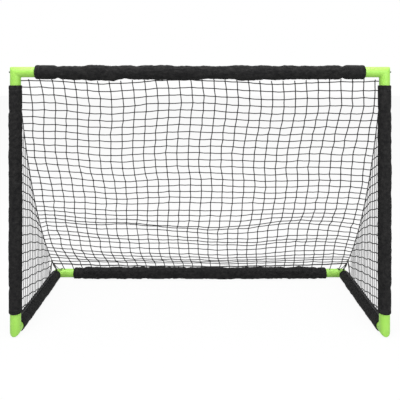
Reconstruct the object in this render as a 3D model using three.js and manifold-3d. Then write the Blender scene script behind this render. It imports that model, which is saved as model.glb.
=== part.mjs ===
// A street hockey goal: a tube frame with moulded corner elbows, fabric sleeves over the tubes and a hung
// cord net.
// Millimetres, +Z up. The goal mouth faces -Y. The origin is on the floor, under the middle of the goal.
import * as THREE from "three";
import { mergeVertices } from "three/addons/utils/BufferGeometryUtils.js";
import Module from "manifold-3d";

// Driving dimensions of the frame, from tube axis to tube axis
const GOAL_WIDTH = 1480;
const GOAL_HEIGHT = 1033;
const GOAL_DEPTH = 580;

// Steel tubes
const TUBE_DIAMETER = 33.4;
const TUBE_WALL = 1.2;
const SPIGOT_LENGTH = 60;
const SPIGOT_CLEARANCE = 0.3; // each side, between a swaged spigot and the tube it slips into
const BUTT_GAP = 0.4; // between the shoulder of a spigot and the tube end that meets it

// Corner elbows
const ELBOW_WALL = 4.5;
const SOCKET_CLEARANCE = 0.3; // each side, between a tube and its socket
const ELBOW_ARM = 95; // corner axis to the mouth of the socket
const TUBE_STOP = 30; // corner axis to the end of the tube in the socket

// Fabric sleeves
const SLEEVE_DIAMETER = 54;
const SLEEVE_WALL = 1.6;
const SLEEVE_PUFF = 1; // how far the fabric swells and draws in along its length
const PUFF_LENGTH = 220;
const SLEEVE_NECK = 9; // length over which the hem draws in to the elbow
const HEM_SHOULDER = 3; // from the hem to where the fabric is nearly at its full width
const NECK_CLEARANCE = 0.5;
const FLOOR_FLATTENING = 2.5; // how far the base sleeves are pressed flat by the floor

// Corner axis to the hem of the sleeve, on each kind of elbow arm
const TOP_ARM_HEM = 75;
const POST_HEAD_HEM = 53;
const POST_FOOT_HEM = 68;
const SIDE_FRONT_HEM = 30;
const SIDE_REAR_HEM = 28;
const REAR_ARM_HEM = 88;

// Snap buttons and their leaf springs
const BUTTON_DIAMETER = 7.8;
const BUTTON_PROUD = 2; // above the elbow, at rest
const BUTTON_CLEARANCE = 0.4; // each side, in the holes of the tube and the elbow
const BUTTON_SIDES = 8;
const BUTTON_EDGE = 1; // chamfer round its crown
const COLLAR_DIAMETER = 11;
const COLLAR_THICKNESS = 1;
const COLLAR_SETBACK = 1.2; // from the tube's inside wall, whose curve the flat collar has to clear
const LEAF_THICKNESS = 0.8;
const LEAF_WIDTH = 8;
const LEAF_REACH = 36; // from the button to the bend
const LEAF_BEND_RADIUS = 4;
const LEAF_BEND_STEPS = 4;
const LEAF_PAD = 5; // flat end of the leaf, each side of the button
const PART_GAP = 0.3; // between pieces that touch
const OPEN_BUTTON = 54; // corner axis to a button that stands clear of the sleeve
const COVERED_BUTTON = 76; // corner axis to a button under the sleeve

// Net
const STRAND_WIDTH = 4;
const STRAND_THICKNESS = 3;
const BACK_ROWS = 12; // also the steps of the corner cords
const BACK_COLUMNS = 15;
const SIDE_ROWS = 10;
const SIDE_COLUMNS = 5;
const SIDE_START = 0.15; // how far down the corner cord a side panel starts, as a share of its length
const SIDE_END = 0.97; // how far down it ends
const CORNER_SAG = 82; // how far the corner cord's middle hangs from a straight line, square to it
const CORNER_SLUMP = 0.15; // share by which that is more in the cord's lower half and less in its upper
const BACK_SAG = 92; // the same for the middle of the back panel
const BACK_SLUMP = 0.2;
const FOLD_DEPTH = 9; // the soft horizontal folds low on the back panel
const FOLD_COUNT = 3;
const FOLD_DROP = 0.5; // how far a fold also drops, for each millimetre that it swells backwards
const EDGE_HOLD = 3; // the higher, the nearer to the corner cords the back panel keeps its own sag
const NET_GAP = 0.5; // between a net's edge and the sleeve or cord it is sewn to
const BACK_HEAD_ANGLE = 48; // degrees below the horizontal, of its seam behind the crossbar sleeve
const BACK_TOE_ANGLE = 52; // degrees above the horizontal, of its seam ahead of the rear bar sleeve
const CORNER_BLEND = 12; // how close to its corners the panel leaves those seams for the corner cords

// Corner cords
const CORD_DIAMETER = 4;
const CORD_SIDES = 6;
const WRAP_STEPS = 4; // round the back of the top elbow
const KNOT_DIAMETER = 6.5;
const KNOT_SIDES = 8;
const KNOT_RINGS = 6;
const CORD_SETBACK = 4; // behind the post sleeve, where the cord starts to hang
const CORD_DROP = 34; // below the crossbar axis there
const CORD_TOE = 20; // where it meets the rear elbow, ahead of the rear corner

// Round sections all have the same number of sides, with a flat side facing along each axis
const ROUND_SIDES = 16;
const FLAT_FACTOR = Math.cos(Math.PI / ROUND_SIDES);

// Sizes that follow from the ones above
const tubeRadius = TUBE_DIAMETER / 2;
const boreRadius = tubeRadius - TUBE_WALL;
const socketRadius = tubeRadius + SOCKET_CLEARANCE;
const elbowRadius = socketRadius + ELBOW_WALL;
const sleeveRadius = SLEEVE_DIAMETER / 2;
const halfWidth = GOAL_WIDTH / 2;
const frontY = -GOAL_DEPTH / 2;
const rearY = GOAL_DEPTH / 2;
const baseZ = (sleeveRadius + SLEEVE_PUFF) * FLAT_FACTOR - FLOOR_FLATTENING;
const barZ = baseZ + GOAL_HEIGHT;
const sleeveReach = sleeveRadius + SLEEVE_PUFF;

const lime = new THREE.MeshStandardMaterial({ color: 0xa8f05c, roughness: 0.45, metalness: 0 });
const black = new THREE.MeshStandardMaterial({ color: 0x242426, roughness: 0.95, metalness: 0 });
const cordBlack = new THREE.MeshStandardMaterial({ color: 0x2e2e30, roughness: 0.9, metalness: 0 });
const tubeSteel = new THREE.MeshStandardMaterial({ color: 0x3a3c3f, roughness: 0.5, metalness: 0.6 });
const springSteel = new THREE.MeshStandardMaterial({ color: 0xb4b6b8, roughness: 0.35, metalness: 0.9 });

const wasm = await Module();
wasm.setup();

const X = new THREE.Vector3(1, 0, 0);
const Y = new THREE.Vector3(0, 1, 0);
const Z = new THREE.Vector3(0, 0, 1);

const goal = new THREE.Group();

function addMesh(parent, name, geometry, material) {
  const mesh = new THREE.Mesh(geometry, material);
  mesh.name = name;
  parent.add(mesh);
  return mesh;
}

// A geometry with shared vertices, ready for cutting and joining.
function toSolid(geometry) {
  const bare = geometry.clone();
  bare.deleteAttribute("normal");
  bare.deleteAttribute("uv");
  const merged = mergeVertices(bare, 1e-4);
  return new wasm.Manifold(
    new wasm.Mesh({
      numProp: 3,
      vertProperties: new Float32Array(merged.attributes.position.array),
      triVerts: new Uint32Array(merged.index.array),
    }),
  );
}

function toGeometry(solid) {
  const mesh = solid.getMesh();
  const geometry = new THREE.BufferGeometry();
  geometry.setAttribute("position", new THREE.BufferAttribute(mesh.vertProperties, 3));
  geometry.setIndex(new THREE.BufferAttribute(mesh.triVerts, 1));
  geometry.computeVertexNormals();
  return geometry;
}

const cut = (geometry, cutters) =>
  toGeometry(cutters.reduce((solid, cutter) => solid.subtract(toSolid(cutter)), toSolid(geometry)));

// A closed skin through rings of points. Each ring has ROUND_SIDES points, and the last ring joins the first.
function skin(rings) {
  const points = rings.flat();
  const faces = [];
  rings.forEach((ring, r) => {
    const here = r * ROUND_SIDES;
    const next = ((r + 1) % rings.length) * ROUND_SIDES;
    for (let i = 0; i < ROUND_SIDES; i++) {
      const j = (i + 1) % ROUND_SIDES;
      faces.push(here + i, next + j, next + i, here + i, here + j, next + j);
    }
  });
  const geometry = new THREE.BufferGeometry().setFromPoints(points);
  geometry.setIndex(faces);
  geometry.computeVertexNormals();
  return geometry;
}

// The angle of point i of a round section, with a flat side centred on each axis.
const sideAngle = (i) => ((i + 0.5) * 2 * Math.PI) / ROUND_SIDES;

// One ring of a pipe along +X, of the given radius, at x, or sheared so that it lies on a 45 degree mitre.
function ring(radius, x, mitre = 0) {
  return Array.from({ length: ROUND_SIDES }, (_, i) => {
    const across = radius * Math.cos(sideAngle(i));
    const up = radius * Math.sin(sideAngle(i));
    return new THREE.Vector3(x + mitre * up, across, up);
  });
}

// A pipe along +X whose wall follows [x, radius] points, along its outside and then back along its inside.
const pipe = (outside, inside) =>
  skin([...outside, ...inside].map(([x, radius]) => ring(radius, x)));

// A mitred elbow in the XZ plane with its corner at the origin, one arm along +X and one along +Z.
function elbowGeometry() {
  const mouth = (radius) => ring(radius, ELBOW_ARM);
  const mitre = (radius) => ring(radius, 0, 1);
  const otherArm = (points) => points.map((p) => new THREE.Vector3(p.z, p.y, p.x));
  return skin([
    mouth(socketRadius),
    mitre(socketRadius),
    otherArm(mouth(socketRadius)),
    otherArm(mouth(elbowRadius)),
    mitre(elbowRadius),
    mouth(elbowRadius),
  ]);
}

// A round cutter for a button hole, from the middle of a pipe outwards along +Z.
function buttonCutter(x) {
  const radius = BUTTON_DIAMETER / 2 + BUTTON_CLEARANCE;
  return new THREE.CylinderGeometry(radius, radius, sleeveReach, BUTTON_SIDES)
    .rotateX(Math.PI / 2)
    .translate(x, 0, sleeveReach / 2);
}

// The snap button, along +Z with z measured from the tube's axis.
function buttonGeometry() {
  const radius = BUTTON_DIAMETER / 2;
  const crown = elbowRadius + BUTTON_PROUD;
  const collarTop = boreRadius * FLAT_FACTOR - COLLAR_SETBACK;
  const profile = [
    new THREE.Vector2(0, collarTop - COLLAR_THICKNESS),
    new THREE.Vector2(COLLAR_DIAMETER / 2, collarTop - COLLAR_THICKNESS),
    new THREE.Vector2(COLLAR_DIAMETER / 2, collarTop),
    new THREE.Vector2(radius, collarTop),
    new THREE.Vector2(radius, crown - BUTTON_EDGE),
    new THREE.Vector2(radius - BUTTON_EDGE, crown),
    new THREE.Vector2(0, crown),
  ];
  return new THREE.LatheGeometry(profile, BUTTON_SIDES).rotateX(Math.PI / 2);
}

// The V leaf spring behind a button, in the XZ plane: its upper leg under the collar, its lower on the
// tube's wall.
function leafGeometry() {
  const half = LEAF_THICKNESS / 2;
  const top = boreRadius * FLAT_FACTOR - COLLAR_SETBACK - COLLAR_THICKNESS - PART_GAP - half;
  const wallHeight = Math.sqrt(boreRadius ** 2 - (LEAF_WIDTH / 2) ** 2) * FLAT_FACTOR;
  const bottom = -(wallHeight - PART_GAP - half);
  const bendX = LEAF_REACH - LEAF_BEND_RADIUS;
  const path = [new THREE.Vector2(-LEAF_PAD, top), new THREE.Vector2(LEAF_PAD, top)];
  for (let step = 0; step <= LEAF_BEND_STEPS; step++) {
    const angle = Math.PI / 2 - (step * Math.PI) / LEAF_BEND_STEPS;
    path.push(
      new THREE.Vector2(bendX + LEAF_BEND_RADIUS * Math.cos(angle), LEAF_BEND_RADIUS * Math.sin(angle)),
    );
  }
  path.push(new THREE.Vector2(LEAF_PAD, bottom), new THREE.Vector2(-LEAF_PAD, bottom));
  const offset = (side) =>
    path.map((point, i) => {
      const before = path[Math.max(i - 1, 0)];
      const after = path[Math.min(i + 1, path.length - 1)];
      const run = after.clone().sub(before).normalize();
      return new THREE.Vector2(point.x - side * half * run.y, point.y + side * half * run.x);
    });
  const outline = new THREE.Shape([...offset(1), ...offset(-1).reverse()]);
  return new THREE.ExtrudeGeometry(outline, { depth: LEAF_WIDTH, bevelEnabled: false })
    .translate(0, 0, -LEAF_WIDTH / 2)
    .rotateX(Math.PI / 2);
}

// Each corner: where it is, the direction of its two arms, and for each arm the side that its button faces
// and how far along the arm the button stands.
const corners = [];
for (const [side, sign] of [["left", -1], ["right", 1]]) {
  const inward = X.clone().multiplyScalar(-sign);
  const x = sign * halfWidth;
  corners.push(
    {
      name: `top_${side}`,
      at: new THREE.Vector3(x, frontY, barZ),
      arms: [
        { name: "bar", along: inward, faces: Y, button: OPEN_BUTTON },
        { name: "post", along: Z.clone().negate(), faces: Y, button: COVERED_BUTTON },
      ],
    },
    {
      name: `foot_${side}`,
      at: new THREE.Vector3(x, frontY, baseZ),
      arms: [
        { name: "post", along: Z, faces: Y, button: OPEN_BUTTON },
        { name: "side", along: Y, faces: Z, button: COVERED_BUTTON },
      ],
    },
    {
      name: `rear_${side}`,
      at: new THREE.Vector3(x, rearY, baseZ),
      arms: [
        { name: "bar", along: inward, faces: Y, button: OPEN_BUTTON },
        { name: "side", along: Y.clone().negate(), faces: Z, button: COVERED_BUTTON },
      ],
    },
  );
}

// A group at a point with its +X along one direction and its +Z along another.
function frameAt(at, along, up) {
  const group = new THREE.Group();
  group.position.copy(at);
  const across = new THREE.Vector3().crossVectors(up, along);
  group.quaternion.setFromRotationMatrix(new THREE.Matrix4().makeBasis(along, across, up));
  goal.add(group);
  return group;
}

// Elbows, buttons and springs
for (const { name, at, arms } of corners) {
  const [first, second] = arms;
  const elbowFrame = frameAt(at, first.along, second.along);
  elbowFrame.updateMatrixWorld(true);
  const toElbow = elbowFrame.matrixWorld.clone().invert();
  const cutters = [];
  for (const arm of arms) {
    const armFrame = frameAt(at, arm.along, arm.faces);
    armFrame.updateMatrixWorld(true);
    const shift = toElbow.clone().multiply(armFrame.matrixWorld);
    cutters.push(buttonCutter(arm.button).applyMatrix4(shift));
    const label = `${name}_${arm.name}`;
    addMesh(armFrame, `snap_button_${label}`, buttonGeometry(), springSteel).position.x = arm.button;
    addMesh(armFrame, `leaf_spring_${label}`, leafGeometry(), springSteel).position.x = arm.button;
  }
  addMesh(elbowFrame, `elbow_${name}`, cut(elbowGeometry(), cutters), lime);
}

// A straight tube along +X between two distances, with button holes on its +Z side and, if asked, a swaged
// spigot at its far end.
function tubeGeometry(from, to, buttons, spigot) {
  const outside = [[from, tubeRadius], [to, tubeRadius]];
  const inside = [[to, boreRadius], [from, boreRadius]];
  if (spigot) {
    const radius = boreRadius - SPIGOT_CLEARANCE;
    outside.push([to, radius], [to + SPIGOT_LENGTH, radius]);
    const lining = radius - TUBE_WALL;
    const shoulder = to - TUBE_WALL;
    inside.splice(0, 1, [to + SPIGOT_LENGTH, lining], [shoulder, lining], [shoulder, boreRadius]);
  }
  return cut(pipe(outside, inside), buttons.map(buttonCutter));
}

// A run of tube from one corner to another, in one length, or in two that meet at a spigot.
function tubeRun(names, at, along, faces, length, buttons) {
  const near = frameAt(at, along, faces);
  const end = length - TUBE_STOP;
  const [nearButton, farButton] = buttons;
  if (names.length === 1) {
    addMesh(near, names[0], tubeGeometry(TUBE_STOP, end, [nearButton, length - farButton], false), tubeSteel);
    return;
  }
  const middle = length / 2;
  addMesh(near, names[0], tubeGeometry(TUBE_STOP, middle, [nearButton], true), tubeSteel);
  addMesh(
    near,
    names[1],
    tubeGeometry(middle + BUTT_GAP, end, [length - farButton], false),
    tubeSteel,
  );
}

// A fabric sleeve along +X between two hems. Its flat side, where it has one, faces the floor.
function sleeveGeometry(from, to, onFloor) {
  const neck = elbowRadius + NECK_CLEARANCE;
  const puffs = Math.round((to - from) / PUFF_LENGTH);
  const steps = 2 * puffs;
  const body = (step) => from + SLEEVE_NECK + ((to - from - 2 * SLEEVE_NECK) * step) / steps;
  const outside = [[from, neck + SLEEVE_WALL]];
  outside.push([from + HEM_SHOULDER, sleeveRadius - SLEEVE_WALL]);
  for (let step = 0; step <= steps; step++) {
    outside.push([body(step), sleeveRadius + (step % 2 ? SLEEVE_PUFF : -SLEEVE_PUFF)]);
  }
  outside.push([to - HEM_SHOULDER, sleeveRadius - SLEEVE_WALL], [to, neck + SLEEVE_WALL]);
  const lining = sleeveRadius - SLEEVE_PUFF - SLEEVE_WALL;
  const inside = [[to, neck], [to - SLEEVE_NECK, lining], [from + SLEEVE_NECK, lining], [from, neck]];
  const geometry = pipe(outside, inside);
  if (onFloor) {
    const points = geometry.attributes.position;
    const outerCount = outside.length * ROUND_SIDES;
    for (let i = 0; i < points.count; i++) {
      const lowest = i < outerCount ? -baseZ : -baseZ + SLEEVE_WALL;
      points.setZ(i, Math.max(points.getZ(i), lowest));
    }
  }
  return geometry;
}

function sleeve(name, at, along, up, length, hems, onFloor = false) {
  const [near, far] = hems;
  addMesh(frameAt(at, along, up), name, sleeveGeometry(near, length - far, onFloor), black);
}

const cornerAt = Object.fromEntries(corners.map(({ name, at }) => [name, at]));

tubeRun(["crossbar_tube_left", "crossbar_tube_right"], cornerAt.top_left, X, Y, GOAL_WIDTH,
  [OPEN_BUTTON, OPEN_BUTTON]);
sleeve("crossbar_sleeve", cornerAt.top_left, X, Z, GOAL_WIDTH, [TOP_ARM_HEM, TOP_ARM_HEM]);
tubeRun(["rear_tube_left", "rear_tube_right"], cornerAt.rear_left, X, Y, GOAL_WIDTH,
  [OPEN_BUTTON, OPEN_BUTTON]);
sleeve("rear_bar_sleeve", cornerAt.rear_left, X, Z, GOAL_WIDTH, [REAR_ARM_HEM, REAR_ARM_HEM], true);
for (const side of ["left", "right"]) {
  const foot = cornerAt[`foot_${side}`];
  tubeRun([`${side}_post_tube_lower`, `${side}_post_tube_upper`], foot, Z, Y, GOAL_HEIGHT,
    [OPEN_BUTTON, COVERED_BUTTON]);
  sleeve(`${side}_post_sleeve`, foot, Z, Y, GOAL_HEIGHT, [POST_FOOT_HEM, POST_HEAD_HEM]);
  tubeRun([`${side}_side_tube`], foot, Y, Z, GOAL_DEPTH, [COVERED_BUTTON, COVERED_BUTTON]);
  sleeve(`${side}_side_sleeve`, foot, Y, Z, GOAL_DEPTH, [SIDE_FRONT_HEM, SIDE_REAR_HEM], true);
}

// A cord net over a surface: square-section strands along u and v that are fused where they cross.
// surface(u, v) is a point for u and v from 0 to 1, and the strands at the border stay inside it.
function netGeometry(columns, rows, surface) {
  const points = [];
  const faces = [];
  const nudge = 1e-3; // a step in u or v that is small enough to show the surface's direction
  const nodeAt = (i, j) => {
    const length = (a, b) => surface(...a).distanceTo(surface(...b));
    const halfU = STRAND_WIDTH / 2 / length([0, j / rows], [1, j / rows]);
    const halfV = STRAND_WIDTH / 2 / length([i / columns, 0], [i / columns, 1]);
    const u = halfU + ((1 - 2 * halfU) * i) / columns;
    const v = halfV + ((1 - 2 * halfV) * j) / rows;
    const alongU = surface(u + nudge, v).sub(surface(u - nudge, v));
    const alongV = surface(u, v + nudge).sub(surface(u, v - nudge));
    const normal = new THREE.Vector3().crossVectors(alongU, alongV).setLength(STRAND_THICKNESS / 2);
    for (const [du, dv] of [[-halfU, -halfV], [halfU, -halfV], [halfU, halfV], [-halfU, halfV]]) {
      const centre = surface(u + du, v + dv);
      points.push(centre.clone().add(normal), centre.clone().sub(normal));
    }
  };
  for (let j = 0; j <= rows; j++) {
    for (let i = 0; i <= columns; i++) {
      nodeAt(i, j);
    }
  }
  // A corner of a node: 0 to 3 round the node, in front (+normal) or behind.
  const front = (i, j, corner) => ((j * (columns + 1) + i) * 4 + corner) * 2;
  const back = (i, j, corner) => front(i, j, corner) + 1;
  const quad = (a, b, c, d) => faces.push(a, b, c, a, c, d);
  // A quad in front, and its twin behind, through four [i, j, corner] places.
  const sheet = (a, b, c, d) => {
    quad(front(...a), front(...b), front(...c), front(...d));
    quad(back(...d), back(...c), back(...b), back(...a));
  };
  // The side wall from one place to the next, for a walk round the piece with the inside on the left.
  const wall = (a, b) => quad(front(...a), back(...a), back(...b), front(...b));
  for (let j = 0; j <= rows; j++) {
    for (let i = 0; i <= columns; i++) {
      sheet([i, j, 0], [i, j, 1], [i, j, 2], [i, j, 3]);
      if (i < columns) {
        sheet([i, j, 1], [i + 1, j, 0], [i + 1, j, 3], [i, j, 2]);
        wall([i, j, 1], [i + 1, j, 0]);
        wall([i + 1, j, 3], [i, j, 2]);
      } else {
        wall([i, j, 1], [i, j, 2]);
      }
      if (i === 0) {
        wall([i, j, 3], [i, j, 0]);
      }
      if (j < rows) {
        sheet([i, j, 3], [i, j, 2], [i, j + 1, 1], [i, j + 1, 0]);
        wall([i, j, 2], [i, j + 1, 1]);
        wall([i, j + 1, 0], [i, j, 3]);
      } else {
        wall([i, j, 2], [i, j, 3]);
      }
      if (j === 0) {
        wall([i, j, 0], [i, j, 1]);
      }
    }
  }
  const geometry = new THREE.BufferGeometry().setFromPoints(points);
  geometry.setIndex(faces);
  geometry.computeVertexNormals();
  return geometry;
}

// The line that the corner cord hangs on, from the top elbow (0) to the rear elbow (1), as [y, z].
const knotRadius = KNOT_DIAMETER / 2;
const cordWrap = elbowRadius + knotRadius + PART_GAP;
const cordHead = [frontY + sleeveReach + CORD_SETBACK, barZ - CORD_DROP];
const cordToe = [rearY - CORD_TOE, baseZ + cordWrap];
function hang(head, toe, sag, slump, t) {
  const run = toe[0] - head[0];
  const fall = toe[1] - head[1];
  const swing = (4 * sag * t * (1 - t) * (1 + slump * (2 * t - 1))) / Math.hypot(run, fall);
  return [head[0] + run * t + fall * swing, head[1] + fall * t - run * swing];
}
const cornerLine = (t) => hang(cordHead, cordToe, CORNER_SAG, CORNER_SLUMP, t);

// The back panel hangs from the crossbar sleeve to the rear bar sleeve, between the corner cords.
const seamReach = sleeveReach + STRAND_WIDTH / 2 + NET_GAP;
function seam(degrees) {
  const angle = (degrees * Math.PI) / 180;
  return [seamReach * Math.cos(angle), seamReach * Math.sin(angle)];
}
const [headBack, headDown] = seam(BACK_HEAD_ANGLE);
const [toeAhead, toeUp] = seam(BACK_TOE_ANGLE);
const backHead = [frontY + headBack, barZ - headDown];
const backToe = [rearY - toeAhead, baseZ + toeUp];
const mix = (a, b, share) => a.map((value, i) => value + (b[i] - value) * share);
function backSurface(u, v) {
  const spread = 2 * u - 1; // -1 at the left cord, 1 at the right
  const edge = Math.abs(spread) ** EDGE_HOLD;
  const corner = Math.abs(spread) ** CORNER_BLEND;
  const head = mix(backHead, cordHead, corner);
  const toe = mix(backToe, cordToe, corner);
  const [sag, slump] = mix([BACK_SAG, BACK_SLUMP], [CORNER_SAG, CORNER_SLUMP], edge);
  const [y, z] = hang(head, toe, sag, slump, v);
  const fold = FOLD_DEPTH * v * v * (1 - edge) * Math.sin(2 * Math.PI * FOLD_COUNT * v);
  return new THREE.Vector3(spread * (halfWidth - knotRadius - NET_GAP), y + fold, z - FOLD_DROP * fold);
}
addMesh(goal, "net_back", netGeometry(BACK_COLUMNS, BACK_ROWS, backSurface), cordBlack);

// Each side panel hangs between the post sleeve, the side bar sleeve and the corner cord.
const postBack = frontY + sleeveReach + NET_GAP;
const sideFloor = baseZ + sleeveReach + NET_GAP;
const cordEdge = knotRadius + NET_GAP + STRAND_THICKNESS;
// Each of its rows runs from the post, where rows are evenly spaced, to the corner cord.
function sideSurface(x) {
  const sideTop = cornerLine(SIDE_START)[1];
  return (u, v) => {
    const [y, z] = cornerLine(SIDE_START + (SIDE_END - SIDE_START) * v);
    const post = [postBack, sideTop + (sideFloor - sideTop) * v];
    return new THREE.Vector3(x, ...mix(post, [y - cordEdge, z], u));
  };
}
for (const [side, sign] of [["left", -1], ["right", 1]]) {
  const surface = sideSurface(sign * halfWidth);
  addMesh(goal, `net_${side}`, netGeometry(SIDE_COLUMNS, SIDE_ROWS, surface), cordBlack);
}

// A curve whose steps fall on its own points, so that tight stretches keep theirs.
class Route extends THREE.CatmullRomCurve3 {
  getUtoTmapping(u) {
    return u;
  }
}

// A corner cord: from a knot on the outer face of the top elbow, round its back, then down the corner to a
// knot on the rear elbow.
function cornerCord(sign) {
  const points = [];
  for (let step = 0; step < WRAP_STEPS; step++) {
    const angle = (step * Math.PI) / 2 / WRAP_STEPS;
    const out = halfWidth + cordWrap * Math.cos(angle);
    points.push(new THREE.Vector3(sign * out, frontY + cordWrap * Math.sin(angle), barZ));
  }
  for (let step = 0; step <= BACK_ROWS; step++) {
    const [y, z] = cornerLine(step / BACK_ROWS);
    points.push(new THREE.Vector3(sign * halfWidth, y, z));
  }
  const radius = CORD_DIAMETER / 2;
  const section = new THREE.Shape(
    Array.from({ length: CORD_SIDES }, (_, i) => {
      const angle = (i * 2 * Math.PI) / CORD_SIDES;
      return new THREE.Vector2(radius * Math.cos(angle), radius * Math.sin(angle));
    }),
  );
  const cord = new THREE.ExtrudeGeometry(section, {
    steps: points.length - 1,
    extrudePath: new Route(points, false, "centripetal"),
    bevelEnabled: false,
  });
  return [points[0], points.at(-1)].reduce((solid, end) => {
    const knot = new THREE.SphereGeometry(knotRadius, KNOT_SIDES, KNOT_RINGS).translate(end.x, end.y, end.z);
    return solid.add(toSolid(knot));
  }, toSolid(cord));
}
addMesh(goal, "corner_cord_left", toGeometry(cornerCord(-1)), cordBlack);
addMesh(goal, "corner_cord_right", toGeometry(cornerCord(1)), cordBlack);

export default goal;
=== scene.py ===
"""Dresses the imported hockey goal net: moulded elbows, cloth sleeves, knotted nets and the cords between them.

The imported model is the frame. Sizes are metres in the frame's own axes: X along the crossbar, -Y the front of
the goal and +Z up.
"""

from __future__ import annotations

import logging
import math
import random
from abc import ABC, abstractmethod
from dataclasses import dataclass, field
from enum import Enum
from functools import cached_property
from typing import Callable, ClassVar, Mapping, Sequence

import bmesh
import bpy
from mathutils import Matrix, Vector, noise


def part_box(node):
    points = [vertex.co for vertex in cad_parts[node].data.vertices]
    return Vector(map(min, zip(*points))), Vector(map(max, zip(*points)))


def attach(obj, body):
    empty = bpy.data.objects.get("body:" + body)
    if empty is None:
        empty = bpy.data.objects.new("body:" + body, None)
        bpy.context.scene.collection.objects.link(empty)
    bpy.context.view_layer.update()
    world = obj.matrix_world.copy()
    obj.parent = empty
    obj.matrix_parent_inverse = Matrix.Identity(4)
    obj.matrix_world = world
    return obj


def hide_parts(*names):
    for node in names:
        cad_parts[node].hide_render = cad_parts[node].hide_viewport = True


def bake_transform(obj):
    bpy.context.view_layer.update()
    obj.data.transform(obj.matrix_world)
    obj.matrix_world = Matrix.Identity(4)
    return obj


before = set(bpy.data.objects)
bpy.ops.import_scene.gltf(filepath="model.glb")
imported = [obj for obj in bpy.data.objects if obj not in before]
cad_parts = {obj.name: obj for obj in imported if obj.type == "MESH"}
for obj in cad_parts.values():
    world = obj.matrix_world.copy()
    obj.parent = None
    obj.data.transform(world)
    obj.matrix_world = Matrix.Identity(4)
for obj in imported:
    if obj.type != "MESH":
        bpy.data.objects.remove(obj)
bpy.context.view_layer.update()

LOG = logging.getLogger("goal")
MERGE = 1e-6  # vertices within this are one

ACROSS = Vector((1, 0, 0))
BACKWARDS = Vector((0, 1, 0))
UP = Vector((0, 0, 1))

Colour = tuple[float, float, float, float]
WHITE: Colour = (1.0, 1.0, 1.0, 1.0)
Table = tuple[tuple[float, float], ...]


# ---- The frame's own places ----


def middle(node: str) -> Vector:
    """Returns the middle of a CAD node's box."""
    low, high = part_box(node)
    return (low + high) / 2


def half_length(node: str, axis: Vector) -> float:
    """Returns half the length of a CAD node's box along one of the frame's axes."""
    low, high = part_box(node)
    return abs((high - low).dot(axis)) / 2


def bell(at: float, centre: float, width: float) -> float:
    """Returns a smooth hump that is 1 at its centre and 0.37 a width away."""
    return math.exp(-(((at - centre) / width) ** 2))


def clamp(value: float) -> float:
    """Returns a value kept between 0 and 1."""
    return max(0.0, min(1.0, value))


@dataclass(frozen=True)
class Places:
    """Where the tubes' axes run, read from the CAD nodes."""

    half_width: float  # from the middle plane to a post's axis
    front: float  # y of the posts
    rear: float  # y of the rear bar
    bar: float  # z of the crossbar
    base: float  # z of the base bars
    elbow_radius: float
    socket_radius: float = 0.017
    sleeve_radius: float = 0.027

    @classmethod
    def of_frame(cls) -> Places:
        """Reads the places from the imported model.

        Returns:
            The axes of the tubes and the elbow's outer radius.
        """
        post = middle("right_post_tube_lower")
        crossbar = middle("crossbar_tube_right")
        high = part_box("elbow_top_right")[1]
        return cls(
            half_width=post.x,
            front=post.y,
            rear=middle("rear_tube_right").y,
            bar=crossbar.z,
            base=middle("right_side_tube").z,
            elbow_radius=high.z - crossbar.z,
        )


class Side(Enum):
    """The two sides of the goal, seen from its mouth."""

    LEFT = -1
    RIGHT = 1

    @property
    def word(self) -> str:
        """The side's name in the names of the nodes."""
        return self.name.lower()


# ---- Materials ----


@dataclass(frozen=True)
class Number:
    """A number that varies over a surface. Python's operators add Math nodes to it."""

    nodes: Nodes
    socket: bpy.types.NodeSocket

    def _math(self, operation: str, *values: Number | float) -> Number:
        """Adds a Math node.

        Args:
            operation: The node's operation.
            values: Its inputs, in order.

        Returns:
            The node's result.
        """
        made = self.nodes.node("ShaderNodeMath", {"operation": operation}, dict(enumerate(values)))
        return Number(self.nodes, made.outputs[0])

    def __add__(self, other: Number | float) -> Number:
        """Returns the sum."""
        return self._math("ADD", self, other)

    __radd__ = __add__

    def __sub__(self, other: Number | float) -> Number:
        """Returns the difference."""
        return self._math("SUBTRACT", self, other)

    def __rsub__(self, other: float) -> Number:
        """Returns the difference from a plain number."""
        return self._math("SUBTRACT", other, self)

    def __mul__(self, other: Number | float) -> Number:
        """Returns the product."""
        return self._math("MULTIPLY", self, other)

    __rmul__ = __mul__

    def __pow__(self, other: float) -> Number:
        """Returns the power."""
        return self._math("POWER", self, other)

    def __lt__(self, other: float) -> Number:
        """Returns 1 where this is the smaller, and 0 elsewhere."""
        return self._math("LESS_THAN", self, other)

    def sine(self) -> Number:
        """Returns the sine."""
        return self._math("SINE", self)

    def fraction(self) -> Number:
        """Returns what is left above the next lower whole number."""
        return self._math("FRACT", self)

    def or_more(self, other: Number) -> Number:
        """Returns the larger of the two."""
        return self._math("MAXIMUM", self, other)


class Nodes:
    """The nodes of a material or a world."""

    def __init__(self, owner: bpy.types.Material | bpy.types.World) -> None:
        """Starts with an empty tree.

        Args:
            owner: The material or world.
        """
        owner.use_nodes = True
        self.tree = owner.node_tree
        self.tree.nodes.clear()

    def node(
        self,
        kind: str,
        settings: Mapping[str, object] | None = None,
        inputs: Mapping[str | int, object] | None = None,
    ) -> bpy.types.Node:
        """Adds a node.

        Args:
            kind: The node's type.
            settings: Its own settings, which are set first.
            inputs: Values or links for its sockets, by name or number.

        Returns:
            The node.
        """
        made = self.tree.nodes.new(kind)
        for name, value in (settings or {}).items():
            setattr(made, name, value)
        for key, value in (inputs or {}).items():
            value = value.socket if isinstance(value, Number) else value
            if isinstance(value, bpy.types.NodeSocket):
                self.tree.links.new(value, made.inputs[key])
            else:
                made.inputs[key].default_value = value
        return made

    def number(self, node: bpy.types.Node, output: str | int = 0) -> Number:
        """Returns a node's output as a number."""
        return Number(self, node.outputs[output])


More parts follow.
